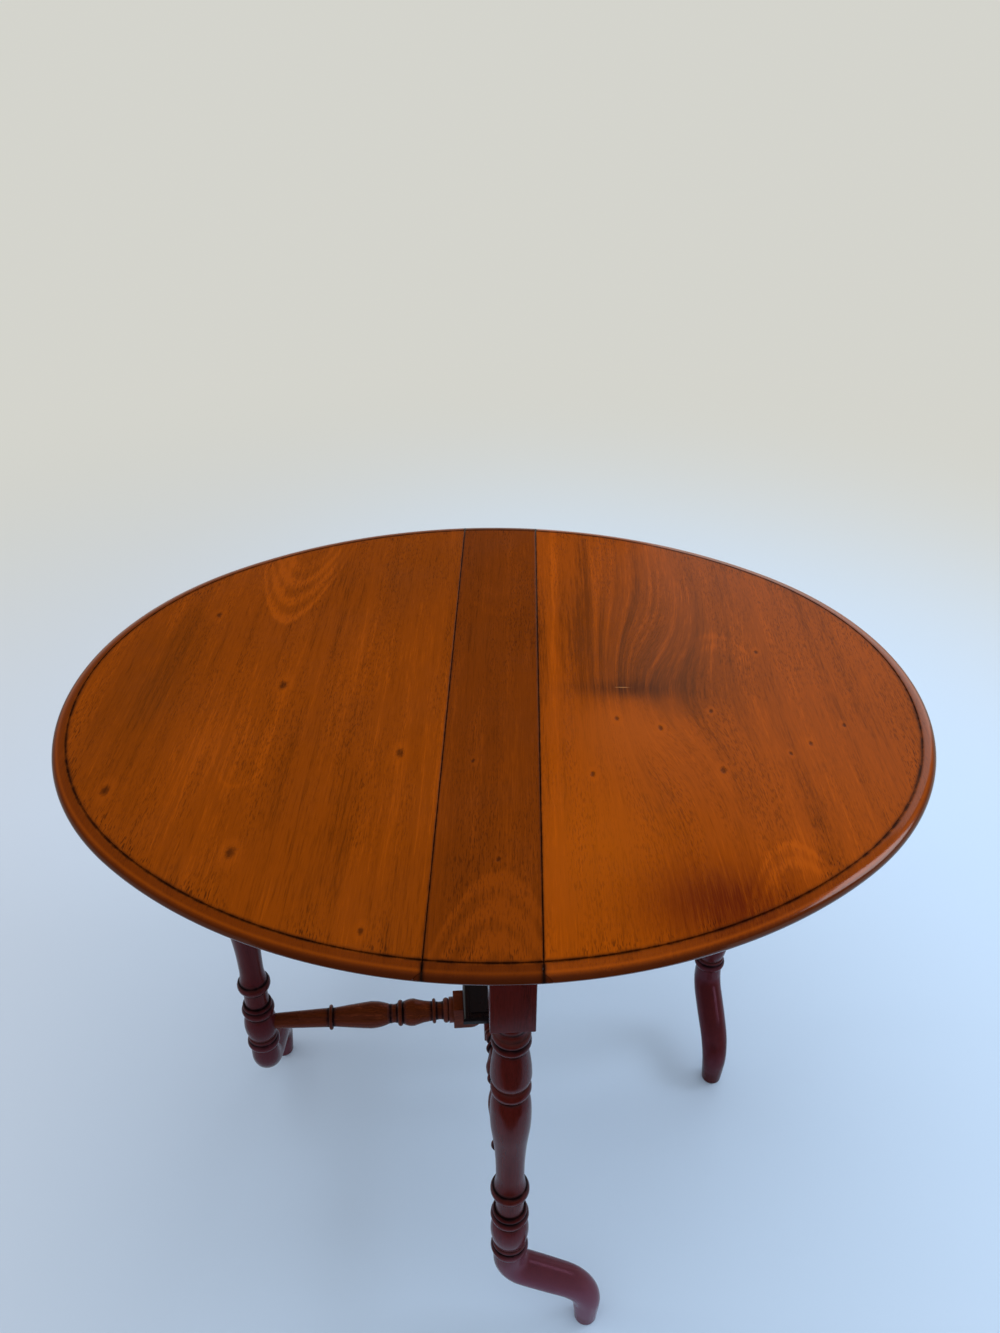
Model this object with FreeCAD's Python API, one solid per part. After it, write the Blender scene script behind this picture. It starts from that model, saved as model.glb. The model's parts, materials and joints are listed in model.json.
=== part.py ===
import FreeCAD
import Part
import math
import os

# A sutherland table: a narrow centre board on a fixed frame, two half-oval leaves on rule joints,
# and two gates that swing out under the leaves. Millimetres, +Z up, origin on the floor below the
# centre of the top. X runs from leaf to leaf, Y along the centre board.
# The whole table looks the same after a half turn, so one half is built and its twin is turned round.

# Top
table_length = 990.0
table_width = 852.0
table_height = 683.0
top_thickness = 15.0
oval_join_angle = 48.4

# Moulded rim of the top
rim_width = 15.0
rim_drop = 7.5
rim_lip = 0.3
rim_break_angle = 25.0
rim_under_angle = 130.0
quirk_width = 1.8
quirk_depth = 1.4

# Rule joints between the centre board and the leaves
board_width = 103.0
rule_fillet = 3.0
leaf_gap = 1.0
rule_clearance = 0.5

# Hinges of the leaves
hinge_length = 64.0
hinge_inset = 186.0
knuckle_diameter = 6.0
knuckle_gap = 0.3
middle_knuckle = 23.0
flap_thickness = 2.0
board_flap_width = 28.0
leaf_flap_width = 46.0
flap_lift_room = 0.9
hinge_pin_diameter = 3.0
hinge_pin_clearance = 0.05
recess_clearance = 0.2
flap_screw_head = 7.0
flap_screw_shank = 3.5
flap_screw_length = 11.0
flap_screw_edge = 9.0

# Fixed frame, turned a little under the top so that each gate folds beside it
leg_inset = 70.0
frame_angle = 4.0
head_size = 44.0
head_height = 119.0
bearer_thickness = 22.0
bearer_height = 70.0
tenon_thickness = 12.0
tenon_length = 24.0
tenon_shoulder = 8.0
stretcher_block_width = 36.0
stretcher_block_length = 172.0
stretcher_block_height = 38.0

# Platform over the stretcher's middle
platform_width = 92.0
platform_length = 176.0
platform_thickness = 12.0
platform_field = 1.5
platform_step = 1.5
platform_round = 7.0

# Turned legs: the lengths of the turned stretches, from the head down
collar_length = 12.0
flare_length = 9.0
top_bead_length = 10.5
low_bead_length = 12.5
urn_rise_length = 42.0
urn_base_length = 14.5
ring_length = 16.5
shoulder_rise_length = 20.0
shoulder_length = 52.0
skirt_length = 27.0
skirt_bead_length = 13.0
neck_length = 27.0
small_bead_length = 6.5
large_bead_length = 14.0
bulb_length = 44.0

# Turned legs: the radii at the start, middle and end of those stretches
collar_top_radius = 15.8
collar_radius = 17.2
collar_end_radius = 16.6
flare_neck_radius = 15.6
flare_radius = 16.2
flare_edge_radius = 18.0
top_bead_edge = 16.6
top_bead_radius = 19.6
bead_valley_radius = 18.0
low_bead_radius = 20.2
low_bead_end = 16.2
urn_neck_radius = 15.9
urn_rise_radius = 19.6
urn_radius = 21.3
urn_turn_radius = 20.8
urn_foot_radius = 18.0
ring_top_edge = 16.4
ring_radius = 21.2
ring_low_edge = 17.4
baluster_top_radius = 17.0
shoulder_rise_radius = 19.9
shoulder_start_radius = 21.3
shoulder_radius = 21.7
hip_radius = 19.6
waist_radius = 16.65
waist_end_radius = 15.7
skirt_radius = 16.6
skirt_edge_radius = 20.0
skirt_bead_radius = 21.6
skirt_end_radius = 17.0
neck_end_radius = 16.1
neck_radius = 15.8
small_bead_edge = 17.2
small_bead_radius = 19.5
double_ring_valley = 18.8
large_bead_radius = 21.8
large_bead_edge = 17.9
bulb_top_radius = 17.4
bulb_radius = 21.9
bulb_end_radius = 18.0

# Swept feet
foot_height = 138.0
foot_reach = 94.0
foot_top_radius = 18.3
foot_pad_radius = 13.4
foot_swell = 2.4
foot_slope = 21.0
heel_drop = 15.5
heel_bend = 28.0
toe_bend = 45.0
foot_taper = 1.6
foot_station = 12.0
toe_trim = 3.0
fixed_foot_turn = -7.5
gate_foot_turn = -2.5
spigot_radius = 9.0
spigot_length = 22.0

# Turned rails of the stretchers: the lengths of the turned stretches, from the block towards the leg
rail_collar_length = 6.0
rail_bead_length = 8.0
rail_neck_length = 10.0
rail_ring_length = 5.0
rail_bulb_rise_length = 24.0
rail_bulb_fall_length = 16.0
rail_wide_ring_length = 7.0
rail_shoulder_length = 27.3
rail_vase_length = 50.7
rail_tip_gap = 4.0

# Turned rails: the radii of their collars, rings, necks and swells
rail_collar_radius = 17.4
rail_ring_edge = 14.4
rail_ring_radius = 16.8
rail_neck_radius = 12.4
rail_hollow_radius = 11.8
rail_bulb_start = 13.0
rail_bulb_rise = 14.8
rail_bulb_fall = 17.7
rail_swell_radius = 18.0
rail_wide_ring_radius = 17.5
rail_neck_edge = 13.2
rail_shoulder_rise = 16.8
rail_vase_radius = 15.4
rail_tip_edge = 13.9
rail_taper_radius = 12.8
rail_end_radius = 10.0

# Gates
gate_length = 285.0
gate_open_short = 5.5
gate_closed_gap = 3.4
pivot_reach = 46.0
gate_block_reach = 23.0
gate_block_width = 34.0
gate_side_gap = 1.3
gate_top_gap = 0.5
gate_rail_thickness = 22.0
gate_rail_height = 55.0
leaf_rest_gap = 0.3
pivot_pin_diameter = 8.0
pivot_pin_clearance = 0.08
pin_end_gap = 1.0
platform_bore_depth = 9.0
pivot_block_length = 70.0
pivot_block_height = 18.0
pivot_block_margin = 9.5

# Stops for the gates, under the leaves
stop_length = 50.0
stop_width = 18.0
stop_height = 18.0
stop_gap = 0.4

# Wood screws of the frame
frame_screw_head = 9.0
frame_screw_shank = 4.5
screw_bite = 9.0
bearer_screw_seat = 25.0
platform_screw_seat = 14.0
platform_screw_bite = 7.0
screw_edge = 10.0
bearer_screw_count = 4

# Heights and places that follow from the sizes above
half_length = table_length / 2
half_width = table_width / 2
underside = table_height - top_thickness
knuckle_radius = knuckle_diameter / 2
rule_radius = top_thickness - rule_fillet - knuckle_radius
hinge_height = underside + knuckle_radius
joint_line = board_width / 2
hinge_reach = half_width - hinge_inset
fixed_reach = half_width - leg_inset
head_bottom = underside - head_height
stretcher_height = foot_height + small_bead_length + large_bead_length + bulb_length / 2
block_bottom = stretcher_height - stretcher_block_height / 2
platform_bottom = stretcher_height + stretcher_block_height / 2 + gate_top_gap
pivot_offset = stretcher_block_width / 2 + gate_side_gap + gate_block_width / 2
gate_rail_top = underside - pivot_block_height - gate_top_gap
closed_splay = math.degrees(math.asin((head_size + gate_closed_gap - pivot_offset) / gate_length))
gate_turn = gate_open_short - 90
gate_swing = 180 + frame_angle - closed_splay - gate_open_short - 90

margin = 10.0
touching = 1e-6
up = FreeCAD.Vector(0, 0, 1)
centre = FreeCAD.Vector(0, 0, 0)


def point(x, y, z):
    return FreeCAD.Vector(x, y, z)


def spun(shape, degrees):
    """A copy turned about the vertical through the origin."""
    copy = shape.copy()
    copy.rotate(centre, up, degrees)
    return copy


def moved(shape, x, y, z):
    copy = shape.copy()
    copy.translate(point(x, y, z))
    return copy


def block(x_low, x_high, y_low, y_high, z_low, z_high):
    corner = point(x_low, y_low, z_low)
    return Part.makeBox(x_high - x_low, y_high - y_low, z_high - z_low, corner)


def rod(radius, x, y, z_low, z_high):
    return Part.makeCylinder(radius, z_high - z_low, point(x, y, z_low))


def closed_face(edges):
    return Part.Face(Part.Wire(Part.__sortEdges__(edges)))


def line(start, end):
    return Part.makeLine(start, end)


def arc(start, middle, end):
    return Part.Arc(start, middle, end).toShape()


def turned(stretches):
    """Turn a piece about Z, downwards from z = 0.

    Each stretch is a length and the radius at its start, middle and end; with no middle it is straight.
    """
    edges = []
    here = point(0, 0, 0)
    for length, start, middle, end in stretches:
        begin = point(start, 0, here.z)
        finish = point(end, 0, here.z - length)
        if here.distanceToPoint(begin) > touching:
            edges.append(line(here, begin))
        if middle is None:
            edges.append(line(begin, finish))
        else:
            edges.append(arc(begin, point(middle, 0, here.z - length / 2), finish))
        here = finish
    foot = point(0, 0, here.z)
    edges.append(line(here, foot))
    edges.append(line(foot, point(0, 0, 0)))
    return closed_face(edges).revolve(centre, up, 360)


def screw(head, shank, length):
    """A countersunk wood screw that points up, with its head flush at z = 0."""
    sink = (head - shank) / 2
    stem = length - sink
    tip = shank
    return turned([
        (tip, 0, None, shank / 2),
        (stem - tip, shank / 2, None, shank / 2),
        (sink, shank / 2, None, head / 2),
    ]).translated(point(0, 0, length))


# The top: a four-centred oval with a thumb moulding, cut into three boards

def oval_arcs():
    """Each arc of the oval: its centre, radius, first angle and sweep."""
    angle = math.radians(oval_join_angle)
    spread = (half_length - half_width) / (math.cos(angle) + math.sin(angle) - 1)
    end_centre = spread * math.cos(angle)
    side_centre = spread * math.sin(angle)
    end_radius = half_length - end_centre
    side_radius = half_width + side_centre
    side_sweep = 180 - 2 * oval_join_angle
    return [
        (point(end_centre, 0, 0), end_radius, -oval_join_angle, 2 * oval_join_angle),
        (point(0, -side_centre, 0), side_radius, oval_join_angle, side_sweep),
        (point(-end_centre, 0, 0), end_radius, 180 - oval_join_angle, 2 * oval_join_angle),
        (point(0, side_centre, 0), side_radius, 180 + oval_join_angle, side_sweep),
    ]


def oval_plate(inset):
    edges = []
    for middle, radius, first, sweep in oval_arcs():
        edges.append(Part.makeCircle(radius - inset, middle, up, first, first + sweep))
    face = closed_face(edges)
    return moved(face, 0, 0, underside).extrude(up * top_thickness)


def rim_section(radius):
    """The moulding's section, standing on the XZ plane with its nose at the given radius."""
    inner = rim_width + quirk_width
    bend = math.radians(rim_break_angle)
    under = math.radians(rim_under_angle)
    det = math.sin(bend) + math.cos(bend) - 1
    thumb = (rim_width * math.cos(bend) - rim_drop * (1 - math.sin(bend))) / det
    nose = (rim_drop * math.sin(bend) - rim_width * (1 - math.cos(bend))) / det
    lip = table_height - rim_lip
    nose_height = lip - rim_drop

    def at(inset, height):
        return point(radius - inset, 0, height)

    def on_thumb(turn):
        return at(rim_width - thumb * math.sin(turn), lip - thumb * (1 - math.cos(turn)))

    def on_nose(turn):
        return at(nose * (1 - math.sin(turn)), nose_height + nose * math.cos(turn))

    tail = on_nose(under)
    tail_run = (tail.z - underside) * -math.cos(under) / math.sin(under)
    corner = point(tail.x - tail_run, 0, underside)
    quirk_floor = table_height - quirk_depth
    return closed_face([
        line(at(inner, underside), at(inner, quirk_floor)),
        line(at(inner, quirk_floor), at(rim_width, quirk_floor)),
        line(at(rim_width, quirk_floor), at(rim_width, lip)),
        arc(at(rim_width, lip), on_thumb(bend / 2), on_thumb(bend)),
        arc(on_nose(bend), on_nose((bend + under) / 2), tail),
        line(tail, corner),
        line(corner, at(inner, underside)),
    ])


def whole_top():
    top = oval_plate(rim_width + quirk_width)
    rims = []
    for middle, radius, first, sweep in oval_arcs():
        section = spun(rim_section(radius), first)
        rim = section.revolve(centre, up, sweep)
        rims.append(moved(rim, middle.x, middle.y, 0))
    return top.multiFuse(rims).removeSplitter()


def along_board(edges):
    """A prism along Y, past both ends of the top, over a face drawn on the XZ plane."""
    reach = half_width + margin
    return moved(closed_face(edges), 0, -reach, 0).extrude(point(0, 2 * reach, 0))


def board_space():
    """The space of the centre board, with its convex rule-joint edges."""
    high = table_height + margin
    low = underside - margin
    fillet = table_height - rule_fillet
    bend = rule_radius * math.sqrt(0.5)
    edges = [
        line(point(-joint_line, 0, high), point(joint_line, 0, high)),
        line(point(-joint_line - rule_radius, 0, low), point(joint_line + rule_radius, 0, low)),
    ]
    for side in (-1, 1):
        step = point(side * joint_line, 0, fillet)
        crown = point(side * (joint_line + bend), 0, hinge_height + bend)
        edge = point(side * (joint_line + rule_radius), 0, hinge_height)
        edges.append(line(point(side * joint_line, 0, high), step))
        edges.append(arc(step, crown, edge))
        edges.append(line(edge, point(edge.x, 0, low)))
    return along_board(edges)


def leaf_space():
    """The space of the right leaf, with its hollow rule-joint edge."""
    high = table_height + margin
    low = underside - margin
    far = half_length + margin
    hollow = rule_radius + rule_clearance
    rise = math.sqrt(hollow ** 2 - leaf_gap ** 2)
    half_turn = (math.atan2(rise, leaf_gap)) / 2
    tip = point(joint_line + leaf_gap, 0, hinge_height + rise)
    middle = point(joint_line + hollow * math.cos(half_turn), 0, hinge_height + hollow * math.sin(half_turn))
    edge = point(joint_line + hollow, 0, hinge_height)
    return along_board([
        line(point(tip.x, 0, high), tip),
        arc(tip, middle, edge),
        line(edge, point(edge.x, 0, low)),
        line(point(edge.x, 0, low), point(far, 0, low)),
        line(point(far, 0, low), point(far, 0, high)),
        line(point(far, 0, high), point(tip.x, 0, high)),
    ])


# One leaf hinge, with its axis along Y through the origin and the leaf on the +X side

def along_y(radius, y_low, y_high):
    return Part.makeCylinder(radius, y_high - y_low, point(0, y_low, 0), point(0, 1, 0))


def flap_screw_places(width):
    """Three screws in a zigzag, out from the axis."""
    far = width - flap_screw_edge
    near = far - flap_screw_head
    end = hinge_length / 2 - flap_screw_edge
    return [(near, -end), (far, 0), (near, end)]


def flap_screws(width, side):
    one = screw(flap_screw_head, flap_screw_shank, flap_screw_length)
    return [moved(one, side * x, y, -knuckle_radius) for x, y in flap_screw_places(width)]


def board_flap():
    half = hinge_length / 2
    inner_end = middle_knuckle / 2 + knuckle_gap
    low = -knuckle_radius
    high = low + flap_thickness
    root = knuckle_radius + knuckle_gap
    flap = block(-board_flap_width, -root, -half, half, low, high)
    for y_low, y_high in ((-half, -inner_end), (inner_end, half)):
        flap = flap.fuse(block(-root, 0, y_low, y_high, low, high))
        flap = flap.fuse(along_y(knuckle_radius, y_low, y_high))
    flap = flap.cut(along_y(hinge_pin_diameter / 2, -half, half))
    return flap.cut(Part.makeCompound(flap_screws(board_flap_width, -1))).removeSplitter()


def leaf_flap():
    half = hinge_length / 2
    middle = middle_knuckle / 2
    low = -knuckle_radius
    high = low + flap_thickness
    root = knuckle_radius + knuckle_gap
    flap = block(root, leaf_flap_width, -half, half, low, high)
    flap = flap.fuse(block(0, root, -middle, middle, low, high))
    flap = flap.fuse(along_y(knuckle_radius, -middle, middle))
    flap = flap.cut(along_y(hinge_pin_diameter / 2 + hinge_pin_clearance, -half, half))
    return flap.cut(Part.makeCompound(flap_screws(leaf_flap_width, 1))).removeSplitter()


def board_recess():
    """What the hinge needs cut from the centre board."""
    half = hinge_length / 2 + recess_clearance
    low = -knuckle_radius
    seat = low + flap_thickness
    room = rule_radius + margin
    recess = block(-board_flap_width - recess_clearance, 0, -half, half, low, seat)
    recess = recess.fuse(block(0, room, -half, half, low, seat + flap_lift_room))
    recess = recess.fuse(along_y(knuckle_radius + recess_clearance, -half, half))
    return recess.fuse(flap_screws(board_flap_width, -1))


def leaf_recess():
    """What the hinge needs cut from the leaf."""
    half = hinge_length / 2 + recess_clearance
    low = -knuckle_radius
    recess = block(rule_radius, leaf_flap_width + recess_clearance, -half, half, low, low + flap_thickness)
    return recess.fuse(flap_screws(leaf_flap_width, 1))


def at_hinge(shape, y):
    """Place a hinge piece on the right leaf's axis."""
    return moved(shape, joint_line, y, hinge_height)


# Legs, feet and turned rails

def leg():
    """A leg on the Z axis, with a square head and a turned stem down to its foot."""
    upper = [
        (collar_length, collar_top_radius, collar_radius, collar_end_radius),
        (flare_length, flare_neck_radius, flare_radius, flare_edge_radius),
        (top_bead_length, top_bead_edge, top_bead_radius, bead_valley_radius),
        (low_bead_length, bead_valley_radius, low_bead_radius, low_bead_end),
        (urn_rise_length, urn_neck_radius, urn_rise_radius, urn_radius),
        (urn_base_length, urn_radius, urn_turn_radius, urn_foot_radius),
        (ring_length, ring_top_edge, ring_radius, ring_low_edge),
        (shoulder_rise_length, baluster_top_radius, shoulder_rise_radius, shoulder_start_radius),
        (shoulder_length, shoulder_start_radius, shoulder_radius, hip_radius),
    ]
    double_ring = [
        (small_bead_length, small_bead_edge, small_bead_radius, double_ring_valley),
        (large_bead_length, double_ring_valley, large_bead_radius, large_bead_edge),
    ]
    lower = [
        (skirt_length, waist_end_radius, skirt_radius, skirt_edge_radius),
        (skirt_bead_length, skirt_edge_radius, skirt_bead_radius, skirt_end_radius),
        (neck_length, neck_end_radius, neck_radius, neck_end_radius),
        *double_ring,
        (bulb_length, bulb_top_radius, bulb_radius, bulb_end_radius),
        *double_ring,
    ]
    used = sum(stretch[0] for stretch in upper + lower)
    waist = (head_bottom - foot_height - used, hip_radius, waist_radius, waist_end_radius)
    stem = turned(upper + [waist] + lower)
    half = head_size / 2
    head = block(-half, half, -half, half, head_bottom, underside)
    socket = rod(spigot_radius, 0, 0, foot_height, foot_height + spigot_length)
    return head.fuse(moved(stem, 0, 0, head_bottom)).removeSplitter().cut(socket)


def foot_line():
    """Even stations down the middle of a foot: travel, x, z and lean from the vertical."""
    slope = math.radians(foot_slope)
    bend = math.pi / 2 - slope
    across = 1 - math.cos(bend)
    run = (foot_reach - (heel_bend + toe_bend) * across) / math.cos(slope)
    fall = (heel_bend + toe_bend) * math.sin(bend) + run * math.sin(slope)
    toe_drop = foot_height - heel_drop - fall + toe_trim
    stations = [(0.0, 0.0, foot_height, 0.0)]
    for size, turn in ((heel_drop, 0), (heel_bend, bend), (run, 0), (toe_bend, -bend), (toe_drop, 0)):
        length = size if turn == 0 else abs(size * turn)
        parts = max(1, round(length / foot_station))
        swing = turn / parts
        chord = length / parts if turn == 0 else 2 * size * math.sin(abs(swing) / 2)
        for _ in range(parts):
            travel, x, z, lean = stations[-1]
            x += chord * math.sin(lean + swing / 2)
            z -= chord * math.cos(lean + swing / 2)
            stations.append((travel + length / parts, x, z, lean + swing))
    return stations


def foot_radius(share):
    """A foot's radius at a share of its length: it tapers to the pad and swells on the way."""
    taper = (foot_top_radius - foot_pad_radius) * share ** foot_taper
    return foot_top_radius - taper + 4 * foot_swell * share * (1 - share)


def foot():
    """A swept foot under the Z axis that reaches out along +X and is cut flat at the floor."""
    stations = foot_line()
    whole = stations[-1][0]
    rings = []
    for travel, x, z, lean in stations:
        heading = point(math.sin(lean), 0, -math.cos(lean))
        rings.append(Part.Wire(Part.makeCircle(foot_radius(travel / whole), point(x, 0, z), heading)))
    sweep = Part.makeLoft(rings, True, False)
    side = foot_reach + 2 * (foot_top_radius + foot_swell)
    sweep = sweep.common(block(-side, side, -side, side, 0, foot_height))
    spigot = rod(spigot_radius, 0, 0, foot_height, foot_height + spigot_length)
    return sweep.fuse(spigot)


def turned_rail(reach):
    """A turned rail along -Y from the origin, which ends in a round tenon short of a leg at the reach."""
    ring = (rail_ring_length, rail_ring_edge, rail_ring_radius, rail_ring_edge)
    fancy = [
        (rail_collar_length, rail_collar_radius, None, rail_collar_radius),
        (rail_bead_length, rail_ring_edge, rail_ring_radius, rail_ring_edge),
        (rail_neck_length, rail_neck_radius, rail_hollow_radius, rail_neck_radius),
        ring,
        (rail_bulb_rise_length, rail_bulb_start, rail_bulb_rise, rail_swell_radius),
        (rail_bulb_fall_length, rail_swell_radius, rail_bulb_fall, rail_ring_edge),
        (rail_wide_ring_length, rail_ring_edge, rail_wide_ring_radius, rail_ring_edge),
        (rail_neck_length, rail_neck_edge, rail_neck_radius, rail_neck_edge),
        (rail_shoulder_length, rail_neck_radius, rail_shoulder_rise, rail_swell_radius),
        (rail_vase_length, rail_swell_radius, rail_vase_radius, rail_neck_radius),
        (rail_ring_length, rail_tip_edge, rail_ring_radius, rail_tip_edge),
    ]
    used = sum(stretch[0] for stretch in fancy)
    taper = (reach - used - bulb_radius, rail_taper_radius, None, rail_end_radius)
    tenon = (bulb_radius - rail_tip_gap, rail_end_radius, None, rail_end_radius)
    rail = turned(fancy + [taper, tenon])
    rail.rotate(centre, point(1, 0, 0), -90)
    return rail


def flat_rail(thickness, height, top, start, reach):
    """A rail on edge from the start towards -Y, with a tenon into the head of a leg at the reach."""
    half = thickness / 2
    shoulder = -reach + head_size / 2
    tip = shoulder - tenon_length
    cheek = tenon_thickness / 2
    rail = block(-half, half, shoulder, start, top - height, top)
    tenon = block(-cheek, cheek, tip, shoulder, top - height + tenon_shoulder, top - tenon_shoulder)
    return rail.fuse(tenon)


# The fixed frame, drawn along Y and then turned under the top

def on_frame(shape):
    return spun(shape, frame_angle)


def twin(shape):
    """The same piece at the other end of the table, half a turn round."""
    return spun(shape, 180)


def frame_pieces():
    stretcher_half = stretcher_block_length / 2
    rail = moved(turned_rail(fixed_reach - stretcher_half), 0, -stretcher_half, stretcher_height)
    half = stretcher_block_width / 2
    middle = block(-half, half, -stretcher_half, stretcher_half, block_bottom, platform_bottom)
    stretcher = middle.fuse([rail, twin(rail)]).removeSplitter()
    bearer_half = flat_rail(bearer_thickness, bearer_height, underside, 0, fixed_reach)
    bearer = bearer_half.fuse(twin(bearer_half)).removeSplitter()
    front_leg = moved(leg(), 0, -fixed_reach, 0).cut(bearer).cut(stretcher)
    front_foot = moved(spun(foot(), fixed_foot_turn), 0, -fixed_reach, 0)

    bearer_screws = []
    bearer_low = underside - bearer_height
    seat = underside - bearer_screw_seat
    spacing = 2 * fixed_reach / (bearer_screw_count + 1)
    fixing = screw(frame_screw_head, frame_screw_shank, bearer_screw_seat + screw_bite)
    for index in range(bearer_screw_count):
        y = (index + 1) * spacing - fixed_reach
        bearer_screws.append(moved(fixing, 0, y, seat))
        bearer = bearer.cut(rod(frame_screw_head / 2, 0, y, bearer_low, seat))
    bearer = bearer.cut(Part.makeCompound(bearer_screws))

    platform_screws = []
    seat = platform_bottom - platform_screw_seat
    fixing = screw(frame_screw_head, frame_screw_shank, platform_screw_seat + platform_screw_bite)
    for y in (-stretcher_half / 2, stretcher_half / 2):
        platform_screws.append(moved(fixing, 0, y, seat))
        stretcher = stretcher.cut(rod(frame_screw_head / 2, 0, y, block_bottom, seat))
    stretcher = stretcher.cut(Part.makeCompound(platform_screws))

    pivot_block, pivot_screws = pivot_block_pieces()
    return {
        "front_leg": on_frame(front_leg),
        "back_leg": on_frame(twin(front_leg)),
        "front_foot": on_frame(front_foot),
        "back_foot": on_frame(twin(front_foot)),
        "top_bearer": on_frame(bearer),
        "stretcher": on_frame(stretcher),
        "platform": on_frame(platform().cut(Part.makeCompound(platform_screws))),
        "left_pivot_block": on_frame(pivot_block),
        "right_pivot_block": on_frame(twin(pivot_block)),
        "bearer_screws": on_frame(Part.makeCompound(bearer_screws)),
        "platform_screws": on_frame(Part.makeCompound(platform_screws)),
        "pivot_block_screws": on_frame(Part.makeCompound(pivot_screws + [twin(one) for one in pivot_screws])),
    }


def platform():
    """A moulded plate over the stretcher's block, bored from below for the gates' lower pins."""
    half_x = platform_width / 2
    half_y = platform_length / 2
    shelf = platform_bottom + platform_thickness - platform_field
    plate = block(-half_x, half_x, -half_y, half_y, platform_bottom, shelf)
    top_edges = []
    for edge in plate.Edges:
        if edge.BoundBox.ZMin > shelf - touching:
            top_edges.append(edge)
    plate = plate.makeFillet(platform_round, top_edges)
    inset = platform_round + platform_step
    plate = plate.fuse(block(inset - half_x, half_x - inset, inset - half_y, half_y - inset,
                             shelf, shelf + platform_field)).removeSplitter()
    bore = rod(pivot_pin_diameter / 2 + pivot_pin_clearance, -pivot_offset, -pivot_reach,
               platform_bottom, platform_bottom + platform_bore_depth)
    return plate.cut(bore).cut(twin(bore))


def pivot_block_pieces():
    """The left gate's upper bearing: a block beside the bearer, screwed up into the centre board."""
    side = -bearer_thickness / 2
    far = -pivot_offset - pivot_block_margin
    half = pivot_block_length / 2
    low = underside - pivot_block_height
    body = block(far, side, -pivot_reach - half, -pivot_reach + half, low, underside)
    bore = rod(pivot_pin_diameter / 2 + pivot_pin_clearance, -pivot_offset, -pivot_reach, low, underside)
    fixing = screw(frame_screw_head, frame_screw_shank, pivot_block_height + screw_bite)
    x = (far + side) / 2
    screws = []
    for y in (-half + screw_edge, half - screw_edge):
        screws.append(moved(fixing, x, y - pivot_reach, low))
    return body.cut(bore).cut(Part.makeCompound(screws)), screws


# The left gate, drawn with its pivot on the Z axis and its leg out along -Y, then opened to its place

def at_left_gate(shape):
    pivot = spun(Part.Vertex(-pivot_offset, -pivot_reach, 0), frame_angle).Point
    return moved(spun(shape, gate_turn), pivot.x, pivot.y, 0)


def gate_pieces():
    pin = pivot_pin_diameter / 2
    block_top = platform_bottom - gate_top_gap
    half = gate_block_width / 2
    rail = moved(turned_rail(gate_length - gate_block_reach), 0, -gate_block_reach, stretcher_height)
    stretcher = block(-half, half, -gate_block_reach, 0, block_bottom, block_top)
    stretcher = stretcher.fuse([rod(half, 0, 0, block_bottom, block_top), rail]).removeSplitter()
    lower_pin = rod(pin, 0, 0, block_bottom, platform_bottom + platform_bore_depth - pin_end_gap)
    stretcher = stretcher.cut(lower_pin)

    top_rail = flat_rail(gate_rail_thickness, gate_rail_height, gate_rail_top, 0, gate_length)
    rail_low = gate_rail_top - gate_rail_height
    top_rail = top_rail.fuse(rod(gate_rail_thickness / 2, 0, 0, rail_low, gate_rail_top)).removeSplitter()
    upper_pin = rod(pin, 0, 0, rail_low, underside - pin_end_gap)
    top_rail = top_rail.cut(upper_pin)

    span = head_size
    clear = block(-span, span, -span, span, underside - leaf_rest_gap, underside)
    gate_leg = moved(leg().cut(clear), 0, -gate_length, 0).cut(top_rail).cut(stretcher)
    gate_foot = moved(spun(foot(), 180 + gate_foot_turn), 0, -gate_length, 0)
    return {
        "gate_leg": at_left_gate(gate_leg),
        "gate_foot": at_left_gate(gate_foot),
        "gate_stretcher": at_left_gate(stretcher),
        "gate_rail": at_left_gate(top_rail),
        "upper_pin": at_left_gate(upper_pin),
        "lower_pin": at_left_gate(lower_pin),
    }


def stop_pieces():
    """The left gate's stop: a block under the leaf that the head of the open leg comes to rest against."""
    near = -head_size / 2 - stop_gap
    low = underside - stop_height
    half = stop_length / 2
    body = block(near - stop_width, near, -gate_length - half, -gate_length + half, low, underside)
    fixing = screw(frame_screw_head, frame_screw_shank, stop_height + screw_bite)
    screws = []
    for y in (-half + screw_edge, half - screw_edge):
        screws.append(moved(fixing, near - stop_width / 2, y - gate_length, low))
    screws = Part.makeCompound(screws)
    return at_left_gate(body.cut(screws)), at_left_gate(screws)


# The boards with their hinges

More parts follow.
